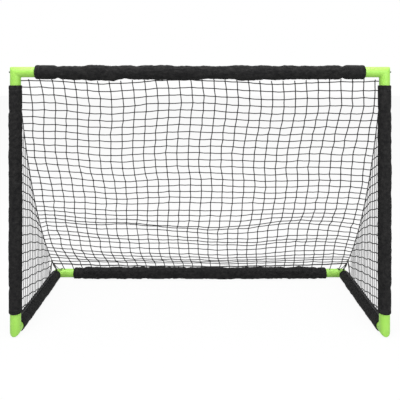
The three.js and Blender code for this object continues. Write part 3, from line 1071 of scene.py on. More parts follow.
@dataclass
class Sleeve:
    """A cloth tube round a steel tube, from hem to hem."""

    node: str
    axis: Vector
    hems: tuple[Hem, Hem]
    rests_on: tuple[str, ...]
    places: Places
    seam_faces: Vector
    on_floor: bool = False
    slim: float = 0.0006  # how much thinner it is than its CAD solid
    inset: float = 0.0  # how much each end is pushed back
    cuff: float = 0.030  # the double, smooth length at each end
    tight: float = 0.0  # how much thinner the sleeve is between the cuffs
    pinch: float = 0.0020  # how far the cloth draws in just past a cuff
    hang: float = 0.0008  # how far loose cloth hangs below the tube
    hang_share: float = 0.8  # of that, on average, and how much it sways
    cuff_share: float = 0.22  # of the relief that is left on the cuffs
    pinch_share: float = 0.9  # of it that is lost where the cloth is pinched
    step: float = 0.0042  # between the stations along the cloth
    turn_steps: int = 7  # stations round a hem
    sides: int = 56
    wall: float = 0.0016
    ease: float = 0.0022  # that creases may sink in
    neck: float = 0.0006  # clear of the elbow
    neck_inside: float = 0.0003  # how much wider the lining's ends are than that
    lining_inside: float = 0.0002  # how much narrower it is past them
    hem_depth: float = 0.018  # from the end to the stitching
    stitch_width: float = 0.0035  # half the width of the band that the stitching draws in
    stitch_draw: float = 0.0009  # how far it draws it in
    stitch_from: float = 0.6  # share of that from which a vertex carries a stitch
    freeing: float = 0.014  # length past a cuff over which the cloth comes loose
    pinch_place: float = 0.013  # of the drawn-in ring past a cuff
    pinch_width: float = 0.010
    gathers: int = 13  # folds round a gathered hem
    gather_place: float = 0.012  # of their middle, and half their length
    gather_depth: float = 0.0005
    seam_groove: tuple[float, float, float] = (-0.0011, 0.0, 0.16)  # depth, radians from the seam, width
    seam_ridge: tuple[float, float, float] = (0.0010, 0.34, 0.12)
    crease: float = 0.0019
    creases: tuple[float, float, float] = (34.0, 0.9, 1.6)  # in a metre, how far they slant, across a radius
    crease_edge: tuple[float, float] = (2.2, 2.5)  # how narrow and how sharp they are
    fine: tuple[float, float] = (90.0, 3.0)  # small creases in a metre and across a radius
    fine_share: float = 0.45  # of a crease's height
    billow: float = 0.0024
    lumps: tuple[float, float] = (26.0, 0.7)  # billows in a metre and across a radius
    waves: tuple[float, float] = (7.0, 0.4)
    wave_share: float = 0.6  # of a billow's height
    puffs: tuple[float, float] = (13.0, 0.5)
    sways: float = 15.0  # bays of hanging cloth in a metre
    puff: float = 0.0  # how far the cloth stands out between its pinched places
    floor_gap: float = 0.0001
    seed: float = 0.0
    lining: int = 24  # stations of the inside
    lining_rise: float = 0.06  # from the end to where the lining lies close under the cloth

    def ends(self) -> tuple[Vector, Vector]:
        """Finds where the sleeve's axis starts and stops.

        Returns:
            Its two ends.
        """
        centre, half = middle(self.node), half_length(self.node, self.axis) - self.inset
        if self.on_floor:
            centre.z = self.places.base
        return centre - self.axis * half, centre + self.axis * half

    def stations(self, length: float) -> list[tuple[float, float, float]]:
        """Draws the cloth's section from hem to hem, outside and then inside.

        Args:
            length: The sleeve's length.

        Returns:
            Its stations as (along, radius, how freely it wrinkles).
        """
        outer = self.places.sleeve_radius - self.slim
        neck = self.places.elbow_radius + self.neck
        close = outer - self.wall - self.ease
        inner = max(neck - self.lining_inside, close)
        first, last = (hem.value for hem in self.hems)
        turn = []
        for step in range(self.turn_steps + 1):
            angle = math.pi / 2 * step / self.turn_steps
            turn.append((1 - math.cos(angle), neck + (outer - neck) * math.sin(angle)))
        section = [(first * share, radius, 0.0) for share, radius in turn]
        plain = length - first - last
        count = round(plain / self.step)
        section += [(first + plain * step / count, outer, 1.0) for step in range(1, count)]
        section += [(length - last * share, radius, 0.0) for share, radius in reversed(turn)]
        for step in range(self.lining + 1):
            along = length - self.wall - (length - 2 * self.wall) * step / self.lining
            if min(along, length - along) > self.lining_rise:
                inner = close
            section.append((along, inner if 0 < step < self.lining else neck + self.neck_inside, 0.0))
        return section

    def relief(self, along: float, length: float, angle: float, down: float) -> float:
        """Works out how far the cloth stands proud of its plain tube.

        Args:
            along: Metres from the first hem.
            length: The sleeve's length.
            angle: Radians round it from the seam.
            down: How much it faces down there, -1 to 1.

        Returns:
            The height of the relief.
        """
        from_hem = min(along, length - along)
        past_cuff = from_hem - self.cuff
        freedom = clamp(past_cuff / self.freeing)
        c, s, seed = math.cos(angle), math.sin(angle), self.seed

        def swelling(pitch: float, across: float, shift: float) -> float:
            """Returns noise with that many lumps in a metre along the sleeve and across a radius."""
            return noise.noise(Vector((along * pitch + shift, c * across, s * across)))

        swell = swelling(*self.lumps, seed) * self.billow
        swell += swelling(*self.waves, -seed) * self.billow * self.wave_share
        swell += abs(swelling(*self.puffs, seed)) * self.puff
        pitch, slant, across = self.creases
        narrow, sharp = self.crease_edge
        place = Vector((along * pitch + angle * slant, c * across + seed, s * across))
        creases = max(0.0, 1 - abs(noise.noise(place)) * narrow) ** sharp * self.crease
        pitch, across = self.fine
        place = Vector((along * pitch, c * across, s * across + seed))
        fine = noise.noise(place) * self.crease * self.fine_share
        sway = noise.noise(Vector((along * self.sways, seed, 0.0)))
        loose = self.hang * max(0.0, down) ** 2 * (self.hang_share + self.hang_share * sway)
        pinched = bell(past_cuff, self.pinch_place, self.pinch_width)
        drawn = -self.stitch_draw * bell(from_hem, self.hem_depth, self.stitch_width) - self.pinch * pinched
        folds = self.gather_depth * math.sin(angle * self.gathers + seed)
        folds *= bell(from_hem, self.gather_place, self.gather_place)
        seam = (self.seam_groove, self.seam_ridge)
        sewn = sum(depth * bell(angle, place, width) for depth, place, width in seam)
        free = (swell + creases + fine + loose) * (self.cuff_share + (1 - self.cuff_share) * freedom)
        free *= 1 - self.pinch_share * pinched
        return max(free + drawn + folds + (sewn - self.tight) * freedom, -self.ease)

    def make(self) -> bpy.types.Object:
        """Returns:
            The sleeve.
        """
        start, stop = self.ends()
        length = (stop - start).length
        section = self.stations(length)
        count = len(section)
        inside_from = count - self.lining - 1
        out = (self.seam_faces - self.axis * self.seam_faces.dot(self.axis)).normalized()
        across = self.axis.cross(out)
        girth = 2 * math.pi * self.places.sleeve_radius
        elbow = self.places.elbow_radius
        out_of_hem = section[self.turn_steps + 1][1] - elbow
        bm = bmesh.new()
        layer = bm.loops.layers.uv.verify()
        stitch = bm.verts.layers.float.new("stitch")
        # a grid 1 m square about its middle: where a vertex lies in it gives its station and its turn
        bmesh.ops.create_grid(bm, x_segments=count, y_segments=self.sides, size=0.5, calc_uvs=True)
        for face in bm.faces:
            for loop in face.loops:
                i = round((loop.vert.co.x + 0.5) * count)
                k = round((loop.vert.co.y + 0.5) * self.sides)
                loop[layer].uv = (section[min(i, count - 1)][0], girth * k / self.sides)
        for vert in bm.verts:
            i = round((vert.co.x + 0.5) * count) % count
            k = round((vert.co.y + 0.5) * self.sides) % self.sides
            along, radius, free = section[i]
            angle = 2 * math.pi * k / self.sides
            near = angle if angle < math.pi else angle - 2 * math.pi
            facing = out * math.cos(angle) + across * math.sin(angle)
            if i < inside_from:
                full = clamp((radius - elbow) / out_of_hem)
                radius += self.relief(along, length, near, -facing.z) * full**2
            from_hem = min(along, length - along)
            on_hem = bell(from_hem, self.hem_depth, self.stitch_width) > self.stitch_from
            on_seam = k == 1 and from_hem > self.hem_depth
            vert[stitch] = float(bool(free and (on_hem or on_seam)))
            place = start + self.axis * along + facing * radius
            if self.on_floor:
                place.z = max(place.z, self.floor_gap + (0 if i < inside_from else self.wall))
            vert.co = place
        seal(bm)
        made = piece(f"{self.node}_cloth", bm, Finishes.CLOTH, self.node)
        list(self.rests_on)
        return made


@dataclass
class Sleeves:
    """The six sleeves."""

    places: Places
    made: list[bpy.types.Object] = field(default_factory=list)

    def build(self) -> None:
        """Makes the sleeves."""
        p = self.places
        gathered = (Hem.GATHERED, Hem.GATHERED)
        half_square = (Hem.GATHERED, Hem.SQUARE)
        bar = ("crossbar_tube_left", "crossbar_tube_right")
        rear = ("rear_tube_left", "rear_tube_right")
        down_and_back = Vector((0, 0.67, -0.74))
        up_and_ahead = Vector((0, -0.62, 0.79))
        plans = [
            Sleeve(
                "crossbar_sleeve", ACROSS, gathered, bar, p, down_and_back,
                slim=-0.0006, inset=0.006, cuff=0.074, tight=0.0048, pinch=0.0004, ease=0.0056,
                hang=0.0062, crease=0.0022, billow=0.0016, puff=0.0072, seed=3.1,
            ),
            Sleeve(
                "rear_bar_sleeve", ACROSS, gathered, rear, p, up_and_ahead,
                on_floor=True, crease=0.0030, billow=0.0030, puff=0.0060, seed=8.4,
            ),
        ]
        for side in Side:
            post = (f"{side.word}_post_tube_lower", f"{side.word}_post_tube_upper")
            tube = (f"{side.word}_side_tube",)
            seed = 11.0 * side.value
            plans += [
                Sleeve(
                    f"{side.word}_post_sleeve", UP, half_square, post, p, BACKWARDS,
                    slim=0.0016, cuff=0.090, billow=0.0011, crease=0.0015, seed=seed,
                ),
                Sleeve(
                    f"{side.word}_side_sleeve", BACKWARDS, half_square, tube, p, UP,
                    on_floor=True, slim=0.0014, cuff=0.060, billow=0.0012, crease=0.0016, seed=seed + 4.7,
                ),
            ]
        self.made = [plan.make() for plan in plans]


# ---- Nets and corner cords ----


@dataclass(frozen=True)
class Ripple:
    """A soft rise or dip of the back panel."""

    x: float
    share: float  # how far down the panel, 0 to 1
    width: float
    height: float  # as a share of the panel
    rise: float

    def at(self, x: float, share: float) -> float:
        """Returns the rise at a place of the panel."""
        aside, above = (x - self.x) / self.width, (share - self.share) / self.height
        return self.rise * math.exp(-(aside**2) - above**2)


@dataclass
class Netting:
    """What the three panels and the corner cords share: their lines, cord and knots."""

    places: Places
    cord_radius: float = 0.0021
    cord_sides: int = 6
    knot: Vector = field(default_factory=lambda: Vector((0.0044, 0.0031, 0.0034)))
    knot_turn: float = math.radians(38)
    knot_skew: float = 0.35  # by which a knot may turn from that, in radians
    knot_sizes: tuple[float, float] = (0.86, 1.12)
    droops: tuple[float, float] = (0.3, 1.6)  # shares of a cord's droop
    wander: float = 0.0007  # of a cord between two knots
    seed: int = 7
    head_setback: float = 0.032  # of the corner cord's head behind the post
    head_drop: float = 0.034  # below the crossbar
    toe_setback: float = 0.020  # of its toe ahead of the rear corner
    toe_rise: float = 0.02505
    sag: float = 0.082  # how far the cord's middle hangs, square to a straight line
    slump: float = 0.15  # the share by which that is more in its lower half and less in its upper
    gather: tuple[float, float] = (0.489, 0.119)  # behind the post and up, of the knot at the corner's foot
    gather_slant: float = 0.045  # how far ahead of it the side panel's edge meets the sleeve

    def __post_init__(self) -> None:
        """Starts the netting's own run of chance."""
        self.chance = random.Random(self.seed)

    def corner(self, t: float) -> tuple[float, float]:
        """Finds a place of the line that a corner cord hangs on.

        Args:
            t: The place, from 0 at the cord's head to 1 at its toe.

        Returns:
            Its y and z.
        """
        p = self.places
        y, z = p.front + self.head_setback, p.bar - self.head_drop
        run, fall = p.rear - self.toe_setback - y, p.base + self.toe_rise - z
        swing = 4 * self.sag * t * (1 - t) * (1 + self.slump * (2 * t - 1)) / math.hypot(run, fall)
        return y + run * t + fall * swing, z + fall * t - run * swing

    def loose(self, size: float) -> Vector:
        """Returns a small chance shift, up to size along each axis."""
        return Vector([self.chance.uniform(-size, size) for _ in range(3)])

    def cord(self, bm: bmesh.types.BMesh, points: Sequence[Vector], droop: float, radius: float) -> None:
        """Adds a cord of the net through its knots, drooping a little between them.

        Args:
            bm: What it is added to.
            points: The knots that it runs through, and its ends.
            droop: How far it hangs between two knots.
            radius: The cord's radius.
        """
        slack = [points[0]]
        for start, stop in zip(points, points[1:]):
            halfway = (start + stop) / 2 - UP * droop * self.chance.uniform(*self.droops)
            slack += [halfway + self.loose(self.wander), stop]
        roll_cord(bm, round_route(slack, 2), radius, self.cord_sides)

    def tie(self, bm: bmesh.types.BMesh, at: Vector, facing: Vector) -> None:
        """Ties a knot of the net.

        Args:
            bm: What it is added to.
            at: Its middle.
            facing: What the net faces there.
        """
        turn = self.knot_turn + self.chance.uniform(-self.knot_skew, self.knot_skew)
        size = self.knot * self.chance.uniform(*self.knot_sizes)
        flat = UP.rotation_difference(facing).to_matrix()
        place = Matrix.Translation(at) @ flat.to_4x4() @ Matrix.Rotation(turn, 4, "Z")
        place = place @ Matrix.Diagonal(size).to_4x4()
        bmesh.ops.create_uvsphere(bm, u_segments=6, v_segments=4, radius=1.0, matrix=place)

    def string(
        self,
        bundle: Bundle,
        points: Sequence[Vector],
        droop: float,
        radius: float,
        knots: Sequence[tuple[Vector, Vector]] = (),
    ) -> None:
        """Adds a cord to a bundle, with the knots that go with it.

        Args:
            bundle: What it is added to.
            points: The knots that it runs through, and its ends.
            droop: How far it hangs between two knots.
            radius: The cord's radius.
            knots: The place of each knot that it ties, and what the net faces there.
        """
        strand = bmesh.new()
        self.cord(strand, points, droop, radius)
        for at, facing in knots:
            self.tie(strand, at, facing)
        bundle.add(strand)


def between(points: Sequence[tuple[float, float]], at: float) -> float:
    """Reads a line through points.

    Args:
        points: The place and height of each, in order of place.
        at: The place that is asked for.

    Returns:
        The line's height there.
    """
    for (start, low), (stop, high) in zip(points, points[1:]):
        if at <= stop:
            return low + (high - low) * (at - start) / (stop - start)
    return points[-1][1]


@dataclass
class BackNet(Netting):
    """The sloping back panel, hung from the crossbar sleeve to the rear bar sleeve."""

    columns: int = 31
    rows: int = 35
    column_pitch: float = 0.047
    column_shift: float = -0.7425  # where the row of columns starts from
    corner_pitch: float = 0.0275  # share of the corner cord from one row to the next
    corner_slack: float = 0.020  # by which the rows at half height meet it lower
    corner_lift: float = 0.005  # by which the first rows meet it higher
    right_slack: Table = (  # row, share by which it meets the right cord lower
        (0, 0.004), (1, 0.0145), (9, 0.0160), (12, 0.0235), (14, 0.0235),
        (17, 0.0110), (20, 0.0140), (24, 0.0260), (30, 0.0180), (34, 0.0),
    )
    right_dip: Table = (  # row, share by which its last mesh drops to that cord
        (0, 0.0), (7, 0.0), (9, 0.006), (18, 0.008), (22, 0.015),
        (31, 0.017), (34, 0.0),
    )
    dip_reach: int = 16  # how steeply that drop grows towards the cord
    slack_row: float = 18.0  # where those rows are, and how far round it they reach
    slack_rows: float = 4.0
    lift_row: float = 1.5
    lift_rows: float = 1.2
    edge_hold: float = 3.0  # how steeply the pull of the corner cords grows across the panel
    head_hold: float = 12.0  # the same for its head and toe
    edge_still: float = 24.0  # how steeply ripples die out at its edges
    row_droop: float = 0.0007  # of a row between two knots
    stray: float = 0.0019  # of a knot from its place
    selvedge: float = 1.45  # how much thicker the last row's cord is
    spans: int = 12
    middle_line: tuple[tuple[float, float, float], ...] = (  # row, metres behind the posts, metres up
        (-0.4, 0.020, 1.035), (0, 0.022, 1.025), (4, 0.047, 0.902), (8, 0.094, 0.778),
        (12, 0.145, 0.656), (16, 0.198, 0.535), (18, 0.232, 0.477), (19, 0.229, 0.444),
        (20, 0.247, 0.416), (22, 0.277, 0.357), (23, 0.305, 0.338), (24, 0.328, 0.314),
        (25, 0.345, 0.285), (27, 0.394, 0.240), (28, 0.410, 0.211), (29, 0.425, 0.181),
        (31, 0.473, 0.135), (33, 0.528, 0.097), (34, 0.550, 0.072), (34.6, 0.561, 0.050),
    )
    lean: Table = (  # share of the way down, metres to the right
        (0.00, -0.0020), (0.03, 0.0020), (0.09, 0.0075), (0.15, 0.0020), (0.21, -0.0065),
        (0.30, -0.0140), (0.36, -0.0130), (0.42, -0.0045), (0.50, -0.0050), (0.62, -0.0140),
        (0.68, -0.0215), (0.83, -0.0185), (0.88, -0.0130), (0.94, -0.0050), (1.00, 0.0),
    )
    ripples: tuple[Ripple, ...] = (
        Ripple(-0.381, 0.07, 0.152, 0.17, -0.0163),
        Ripple(-0.060, 0.07, 0.070, 0.20, 0.0030),
        Ripple(0.308, 0.07, 0.209, 0.17, -0.0155),
        Ripple(0.612, 0.12, 0.078, 0.26, -0.0035),
        Ripple(0.285, 0.77, 0.100, 0.09, -0.0090),
        Ripple(-0.355, 0.40, 0.15, 0.17, -0.0125),
        Ripple(0.310, 0.40, 0.16, 0.17, -0.0085),
        Ripple(0.330, 0.57, 0.16, 0.06, 0.0060),
        Ripple(-0.620, 0.70, 0.22, 0.11, 0.015),
        Ripple(-0.340, 0.66, 0.11, 0.045, 0.015),
        Ripple(-0.200, 0.70, 0.13, 0.05, 0.013),
        Ripple(0.120, 0.78, 0.12, 0.20, -0.008),
        Ripple(0.460, 0.655, 0.20, 0.06, 0.024),
        Ripple(0.520, 0.81, 0.20, 0.05, 0.010),
    )

    def down_the_middle(self) -> list[tuple[float, Vector]]:
        """Walks down the middle of the panel from head to toe.

        Returns:
            Each row's number and its place in the plane x = 0.
        """
        front = self.places.front
        route = round_route([Vector((0, front + back, up)) for _, back, up in self.middle_line], self.spans)
        lengths = lengths_along(route)
        marks = [(mark[0], lengths[k * self.spans]) for k, mark in enumerate(self.middle_line)]
        rows = [marks[0][0], *range(self.rows), marks[-1][0]]
        return [(row, along_route(route, lengths, between(marks, row) / lengths[-1])) for row in rows]

    def knots(self) -> list[list[Vector]]:
        """Places every knot.

        Returns:
            Each column's places, from its head to its toe.
        """
        middle_places = self.down_the_middle()
        half = self.places.half_width
        columns = []
        for i in range(self.columns + 2):
            x = self.column_shift + self.column_pitch * i
            x = max(-half, min(half, x)) if 0 < i <= self.columns else math.copysign(half, i - 1)
            columns.append([self.place(x, row, centre) for row, centre in middle_places])
        return columns

    def place(self, x: float, row: float, centre: Vector) -> Vector:
        """Finds a place of the panel.

        Args:
            x: Across the goal.
            row: Its row, counted from the first at 0; the head and the toe lie beyond the first and last.
            centre: The row's place in the middle of the panel.

        Returns:
            The place.
        """
        head, toe = self.middle_line[0][0], self.middle_line[-1][0]
        share = (row - head) / (toe - head)
        edge = min(1.0, abs(x) / self.places.half_width)
        inside = 1 - edge**self.edge_still
        down = self.corner_pitch * row + self.corner_slack * bell(row, self.slack_row, self.slack_rows)
        down -= self.corner_lift * bell(row, self.lift_row, self.lift_rows)
        if x > 0:
            below = max(0.0, row)
            down += between(self.right_slack, below)
            down += between(self.right_dip, below) * edge**self.dip_reach
        y, z = self.corner(max(0.0, down) if row < toe else 1.0)
        held = edge ** (self.edge_hold if 0 < share < 1 else self.head_hold)
        there = centre.lerp(Vector((0, y, z)), held)
        rise = sum(ripple.at(x, share) for ripple in self.ripples) * inside
        return Vector((x + between(self.lean, share) * inside, there.y, there.z + rise))

    def make(self) -> bpy.types.Object:
        """Knots the back panel.

        Returns:
            The panel.
        """
        columns = self.knots()
        for i, column in enumerate(columns):
            if 0 < i <= self.columns:
                for j in range(1, self.rows + 1):
                    column[j] = column[j] + self.loose(self.stray)
        bundle = Bundle()
        for j in range(1, self.rows + 1):
            radius = self.cord_radius * (self.selvedge if j == self.rows else 1.0)
            self.string(bundle, [column[j] for column in columns], self.row_droop, radius)
        for column in columns[1:-1]:
            knots = []
            for j in range(1, self.rows + 1):
                slope = (column[min(j + 1, self.rows)] - column[j - 1]).normalized()
                knots.append((column[j], slope.cross(ACROSS)))
            self.string(bundle, column, 0.0, self.cord_radius, knots)
        return piece("net_back_mesh", bundle.tied(), Finishes.CORD, "net_back")


@dataclass
class SideNet(Netting):
    """A triangular side panel between the post, the base side bar and the corner cord."""

    side: Side = Side.LEFT
    rows: int = 24
    row_pitch: float = 0.0369
    first_row: float = 0.0345  # above the side bar's sleeve
    column_pitch: float = 0.0222
    columns: int = 24
    closing: float = 0.004  # how much closer each column stands than the one before, as a share
    row_radius: float = 0.0021
    column_radius: float = 0.0014
    knot_share: float = 0.64  # of the back panel's knots
    droop: float = 0.113  # how far a row falls on its way back
    level: float = 0.80  # height from which rows fall less
    level_span: float = 0.30
    bows: tuple[float, float] = (1.2, 1.9)  # how much more low and high rows fall towards the back
    bow_from: float = 0.25  # height from which a row bows more, and over which it does
    bow_span: float = 0.20
    row_droop: float = 0.0004  # of a row between two knots
    stray: float = 0.0004  # of a knot from its place
    edge_stray: float = 0.002
    end_gap: float = 0.004  # clear of the cord, from a row's last knot
    shortest_row: float = 0.006
    lowest_head: float = 0.01  # of a column above the sleeve
    lacing: float = 0.0625  # from one turn of the lacing to the next
    lacings: int = 9
    twin_edges: tuple[float, float] = (-0.007, 0.004)  # how far the edge's two cords bow ahead
    line_steps: int = 200  # in which the corner cord is looked up
    end_step: float = 0.001  # in which a row's end is looked for
    wave: float = 0.0026
    wave_length: float = 0.085
    wave_shift: float = 0.16  # radians from a row's wave to the next
    wave_hold: float = 6.0  # how steeply it dies out at the row's ends
    edge_gap: float = 0.001  # from the post's sleeve to the panel
    floor_rise: float = 0.0275  # of the side bar sleeve's top above its axis

    @property
    def floor(self) -> float:
        """The height of the side bar sleeve's top."""
        return self.places.base + self.floor_rise

    @property
    def front_edge(self) -> float:
        """How far behind the post's axis the panel starts."""
        return self.places.sleeve_radius + self.edge_gap

    @cached_property
    def cord_line(self) -> list[tuple[float, float]]:
        """The corner cord as (behind the post, up), from head to toe."""
        places = [self.corner(step / self.line_steps) for step in range(self.line_steps + 1)]
        return [(y - self.places.front, z) for y, z in places]

    def rear_edge(self, z: float) -> float:
        """Finds where the panel ends at a height, at the cord or at its own edge below.

        Args:
            z: The height.

        Returns:
            How far behind the post that is.
        """
        knot_back, knot_up = self.gather
        if z < knot_up:
            return knot_back - self.gather_slant * (knot_up - z) / (knot_up - self.floor)
        return next((back for back, up in self.cord_line if up <= z), knot_back)

    def row(self, number: int) -> tuple[Callable[[float], float], float]:
        """Hangs a row.

        Args:
            number: Its number from the floor.

        Returns:
            Its height at each distance behind the post, and the distance at which it ends.
        """
        start = self.floor + self.first_row + self.row_pitch * number
        fall = self.droop * clamp((self.level - start) / self.level_span)
        nominal = next((back for back, up in self.cord_line if up <= start - fall), self.gather[0])
        span = max(1e-6, nominal - self.front_edge)
        low, high = self.bows
        bow = low + (high - low) * clamp((start - self.bow_from) / self.bow_span)

        def height(behind: float) -> float:
            """Finds the row's height.

            Args:
                behind: The distance behind the post.

            Returns:
                The height.
            """
            share = max(0.0, (behind - self.front_edge) / span)
            angle = 2 * math.pi * behind / self.wave_length + number * self.wave_shift
            wave = self.wave * math.sin(angle) * clamp(share * self.wave_hold)
            return start - fall * share**bow + wave * clamp((1 - share) * self.wave_hold)

        end = self.front_edge
        while end < self.rear_edge(height(end)) and height(end) > self.floor:
            end += self.end_step
        return height, end

    def make(self) -> bpy.types.Object:
        """Knots the side panel.

        Returns:
            The panel.
        """
        x = self.side.value * self.places.half_width
        front = self.places.front
        self.knot = self.knot * self.knot_share
        indices = range(1, self.columns + 1)
        places = [self.front_edge + self.column_pitch * i * (1 - self.closing * i) for i in indices]
        bundle = Bundle()
        knots: dict[tuple[int, int], Vector] = {}
        for number in range(self.rows):
            height, end = self.row(number)
            if end < self.front_edge + self.shortest_row:
                continue
            inner = [i for i, behind in enumerate(places) if behind < end - self.end_gap]
            for i in inner:
                at = Vector((x, front + places[i], height(places[i])))
                knots[number, i] = at + self.loose(self.stray)
            start, stop = (Vector((x, front + behind, height(behind))) for behind in (self.front_edge, end))
            points = [start, *(knots[number, i] for i in inner), stop]
            self.string(bundle, points, self.row_droop, self.row_radius)
        for i, behind in enumerate(places):
            head = next((up for back, up in self.cord_line if back >= behind), 0.0)
            inner = [knots[number, i] for number in range(self.rows) if (number, i) in knots]
            if behind > self.gather[0] - self.gather_slant or head < self.floor + self.lowest_head:
                continue
            foot, top = (Vector((x, front + behind, up)) for up in (self.floor, head))
            points = [foot, *inner, top]
            self.string(bundle, points, 0.0, self.column_radius, [(at, ACROSS) for at in inner])
        for points in self.edge_cords(x):
            self.string(bundle, points, 0.0, self.row_radius)
        name = f"net_{self.side.word}"
        return piece(f"{name}_mesh", bundle.tied(), Finishes.CORD, name)

    def edge_cords(self, x: float) -> list[list[Vector]]:
        """Runs the panel's edge cords, one laced along the sleeve and two down from the corner cord's knot.

        Args:
            x: The panel's place across the goal.

        Returns:
            The places that each runs through.
        """
        front = self.places.front
        laced = [front + self.front_edge + self.lacing * i for i in range(self.lacings)]
        cords = [[Vector((x, y, self.floor)) for y in laced]]
        back, up = self.gather
        for apart in self.twin_edges:
            points = []
            for share in (0.0, 0.25, 0.5, 0.75, 1.0):
                behind = back - self.gather_slant * share + apart * math.sin(math.pi * share)
                at = Vector((x, front + behind, up - (up - self.floor) * share))
                points.append(at + self.loose(self.edge_stray))
            cords.append(points)
        return cords


@dataclass
class CornerCord(Netting):
    """A two-ply cord from a knot on the top elbow, round its back and down the corner to the rear elbow."""

    side: Side = Side.LEFT
    ply_radius: float = 0.0013
    ply_offset: float = 0.0011
    lay: float = 0.014
    station: float = 0.0017
    wrap_steps: int = 6  # round the top elbow
    hang_steps: int = 24  # down the corner
    nub: float = 0.0027
    gather_knot: float = 0.0060
    turns: float = 2.5  # of a stopper knot
    turn_steps: int = 40
    knot_length: float = 1.3  # of a stopper knot, in half sizes
    knot_width: tuple[float, float] = (0.55, 0.15)  # of its ends in them, and how much wider its middle is
    toe_share: float = 0.9  # of the gathering knot's size, of the knot at the cord's toe
    loop_drop: float = 0.016  # how far a loose end hangs below a straight line
    loops_at: tuple[tuple[float, float], ...] = ((0.018, 1.0), (0.024, 0.35))  # along the arm, share of that
    loop_from: float = math.radians(60)
    loop_round: float = math.radians(190)
    loop_steps: int = 12
    loop_lead: float = 0.003  # how far along the arm one turn runs
    clear: float = 0.0004  # of the elbow
    wrap_clear: float = 0.0002
    strand_ahead: float = 0.020  # of the rear corner, to where two strands meet the side arm
    strands_apart: tuple[float, float] = (-0.010, 0.006)
    strand_inside: float = 0.004  # of the side arm's middle line, where they meet it
    strand_drop: float = 0.004  # of their middles below a straight line
    loop_start: float = 0.002  # behind and below the gathering knot's middle

    def make(self) -> bpy.types.Object:
        """Twists the cord and ties its ends.

        Returns:
            The cord.
        """
        p = self.places
        sign = self.side.value
        wrap = p.elbow_radius + self.ply_radius + self.ply_offset + self.wrap_clear
        points = []
        for step in range(self.wrap_steps):
            angle = math.pi / 2 * step / self.wrap_steps
            out = p.half_width + wrap * math.cos(angle)
            points.append(Vector((sign * out, p.front + wrap * math.sin(angle), p.bar)))
        for step in range(self.hang_steps + 1):
            y, z = self.corner(step / self.hang_steps)
            points.append(Vector((sign * p.half_width, y, z)))
        coarse = round_route(points, 8)
        lengths = lengths_along(coarse)
        count = round(lengths[-1] / self.station)
        route = [along_route(coarse, lengths, step / count) for step in range(count + 1)]
        bundle = Bundle()
        for ply in range(2):
            strand = []
            for step, (at, direction) in enumerate(zip(route, directions_along(route))):
                out = direction.cross(UP if abs(direction.z) < 0.5 else ACROSS).normalized()
                turn = 2 * math.pi * (step * self.station / self.lay + ply / 2)
                strand.append(at + (Matrix.Rotation(turn, 3, direction) @ out) * self.ply_offset)
            self.roll(bundle, strand)
        back, up = self.gather
        gathered = Vector((sign * p.half_width, p.front + back, up))
        for at, size in (
            (points[0], self.nub),
            (points[-1], self.gather_knot * self.toe_share),
            (gathered, self.gather_knot),
        ):
            self.roll(bundle, self.end_knot(at, size), 8)
        for loop in self.loops(gathered):
            self.roll(bundle, round_route(loop, 6))
        name = f"corner_cord_{self.side.word}"
        return piece(f"{name}_twist", bundle.tied(), Finishes.CORNER_CORD, name)

    def roll(self, bundle: Bundle, route: Sequence[Vector], sides: int = 6) -> None:
        """Rolls a ply along a route.

        Args:
            bundle: What it is added to.
            route: The stations of its axis.
            sides: Faces round it.
        """
        bm = bmesh.new()
        roll_cord(bm, route, self.ply_radius, sides)
        bundle.add(bm)

    def loops(self, knot: Vector) -> list[list[Vector]]:
        """Leads the cord's loose ends from the gathering knot to both arms of the rear elbow.

        Args:
            knot: Where they start.

        Returns:
            The places that each runs through.
        """
        p = self.places
        sign = self.side.value
        corner = Vector((sign * p.half_width, p.rear, p.base))
        reach = p.elbow_radius + self.ply_radius + self.clear
        arm = ACROSS * -sign
        found = []
        for away, drop in self.loops_at:
            centre = corner + arm * away
            turn = []
            for step in range(self.loop_steps + 1):
                angle = self.loop_from + self.loop_round * step / self.loop_steps
                facing = UP * math.sin(angle) - BACKWARDS * math.cos(angle)
                turn.append(centre + arm * (self.loop_lead * step / self.loop_steps) + facing * reach)
            start = knot + Vector((0, self.loop_start, -self.loop_start))
            halfway = (start + turn[0]) / 2 - UP * self.loop_drop * drop
            found.append([start, halfway, *turn])
        aside = corner - BACKWARDS * self.strand_ahead + UP * reach - ACROSS * (sign * self.strand_inside)
        for apart in self.strands_apart:
            halfway = (knot + aside) / 2 + Vector((sign * apart, apart, -self.strand_drop))
            found.append([knot.copy(), halfway, aside.copy()])
        return found

    def end_knot(self, at: Vector, size: float) -> list[Vector]:
        """Winds a stopper knot of a few turns.

        Args:
            at: Its middle.
            size: Its half size.

        Returns:
            The cord's route in it.
        """
        ends, middle_more = self.knot_width
        route = []
        for step in range(self.turn_steps + 1):
            share = step / self.turn_steps
            angle = 2 * math.pi * self.turns * share
            lift = (share - 0.5) * size * self.knot_length
            wide = size * (ends + middle_more * math.sin(math.pi * share))
            route.append(at + Vector((lift, wide * math.cos(angle), wide * math.sin(angle))))
        return route


@dataclass
class Nets:
    """The three panels and the two corner cords."""

    places: Places
    made: list[bpy.types.Object] = field(default_factory=list)

    def build(self) -> None:
        """Makes the nets and cords."""
        self.made.append(BackNet(self.places).make())
        for side in Side:
            self.made.append(SideNet(self.places, seed=21 + side.value, side=side).make())
            self.made.append(CornerCord(self.places, seed=31 + side.value, side=side).make())


# ---- Studio ----


@dataclass
class Lamp:
    """A large soft lamp."""

    name: str
    at: Vector
    aim: Vector
    size: float
    watts: float

    def make(self) -> bpy.types.Object:
        """Hangs the lamp and aims it.

        Returns:
            The lamp.
        """
        data = bpy.data.lights.new(self.name, "AREA")
        data.shape, data.size, data.energy = "DISK", self.size, self.watts
        made = linked(self.name, data)
        made.location = self.at
        made.rotation_euler = (self.aim - self.at).to_track_quat("-Z", "Y").to_euler()
        return made


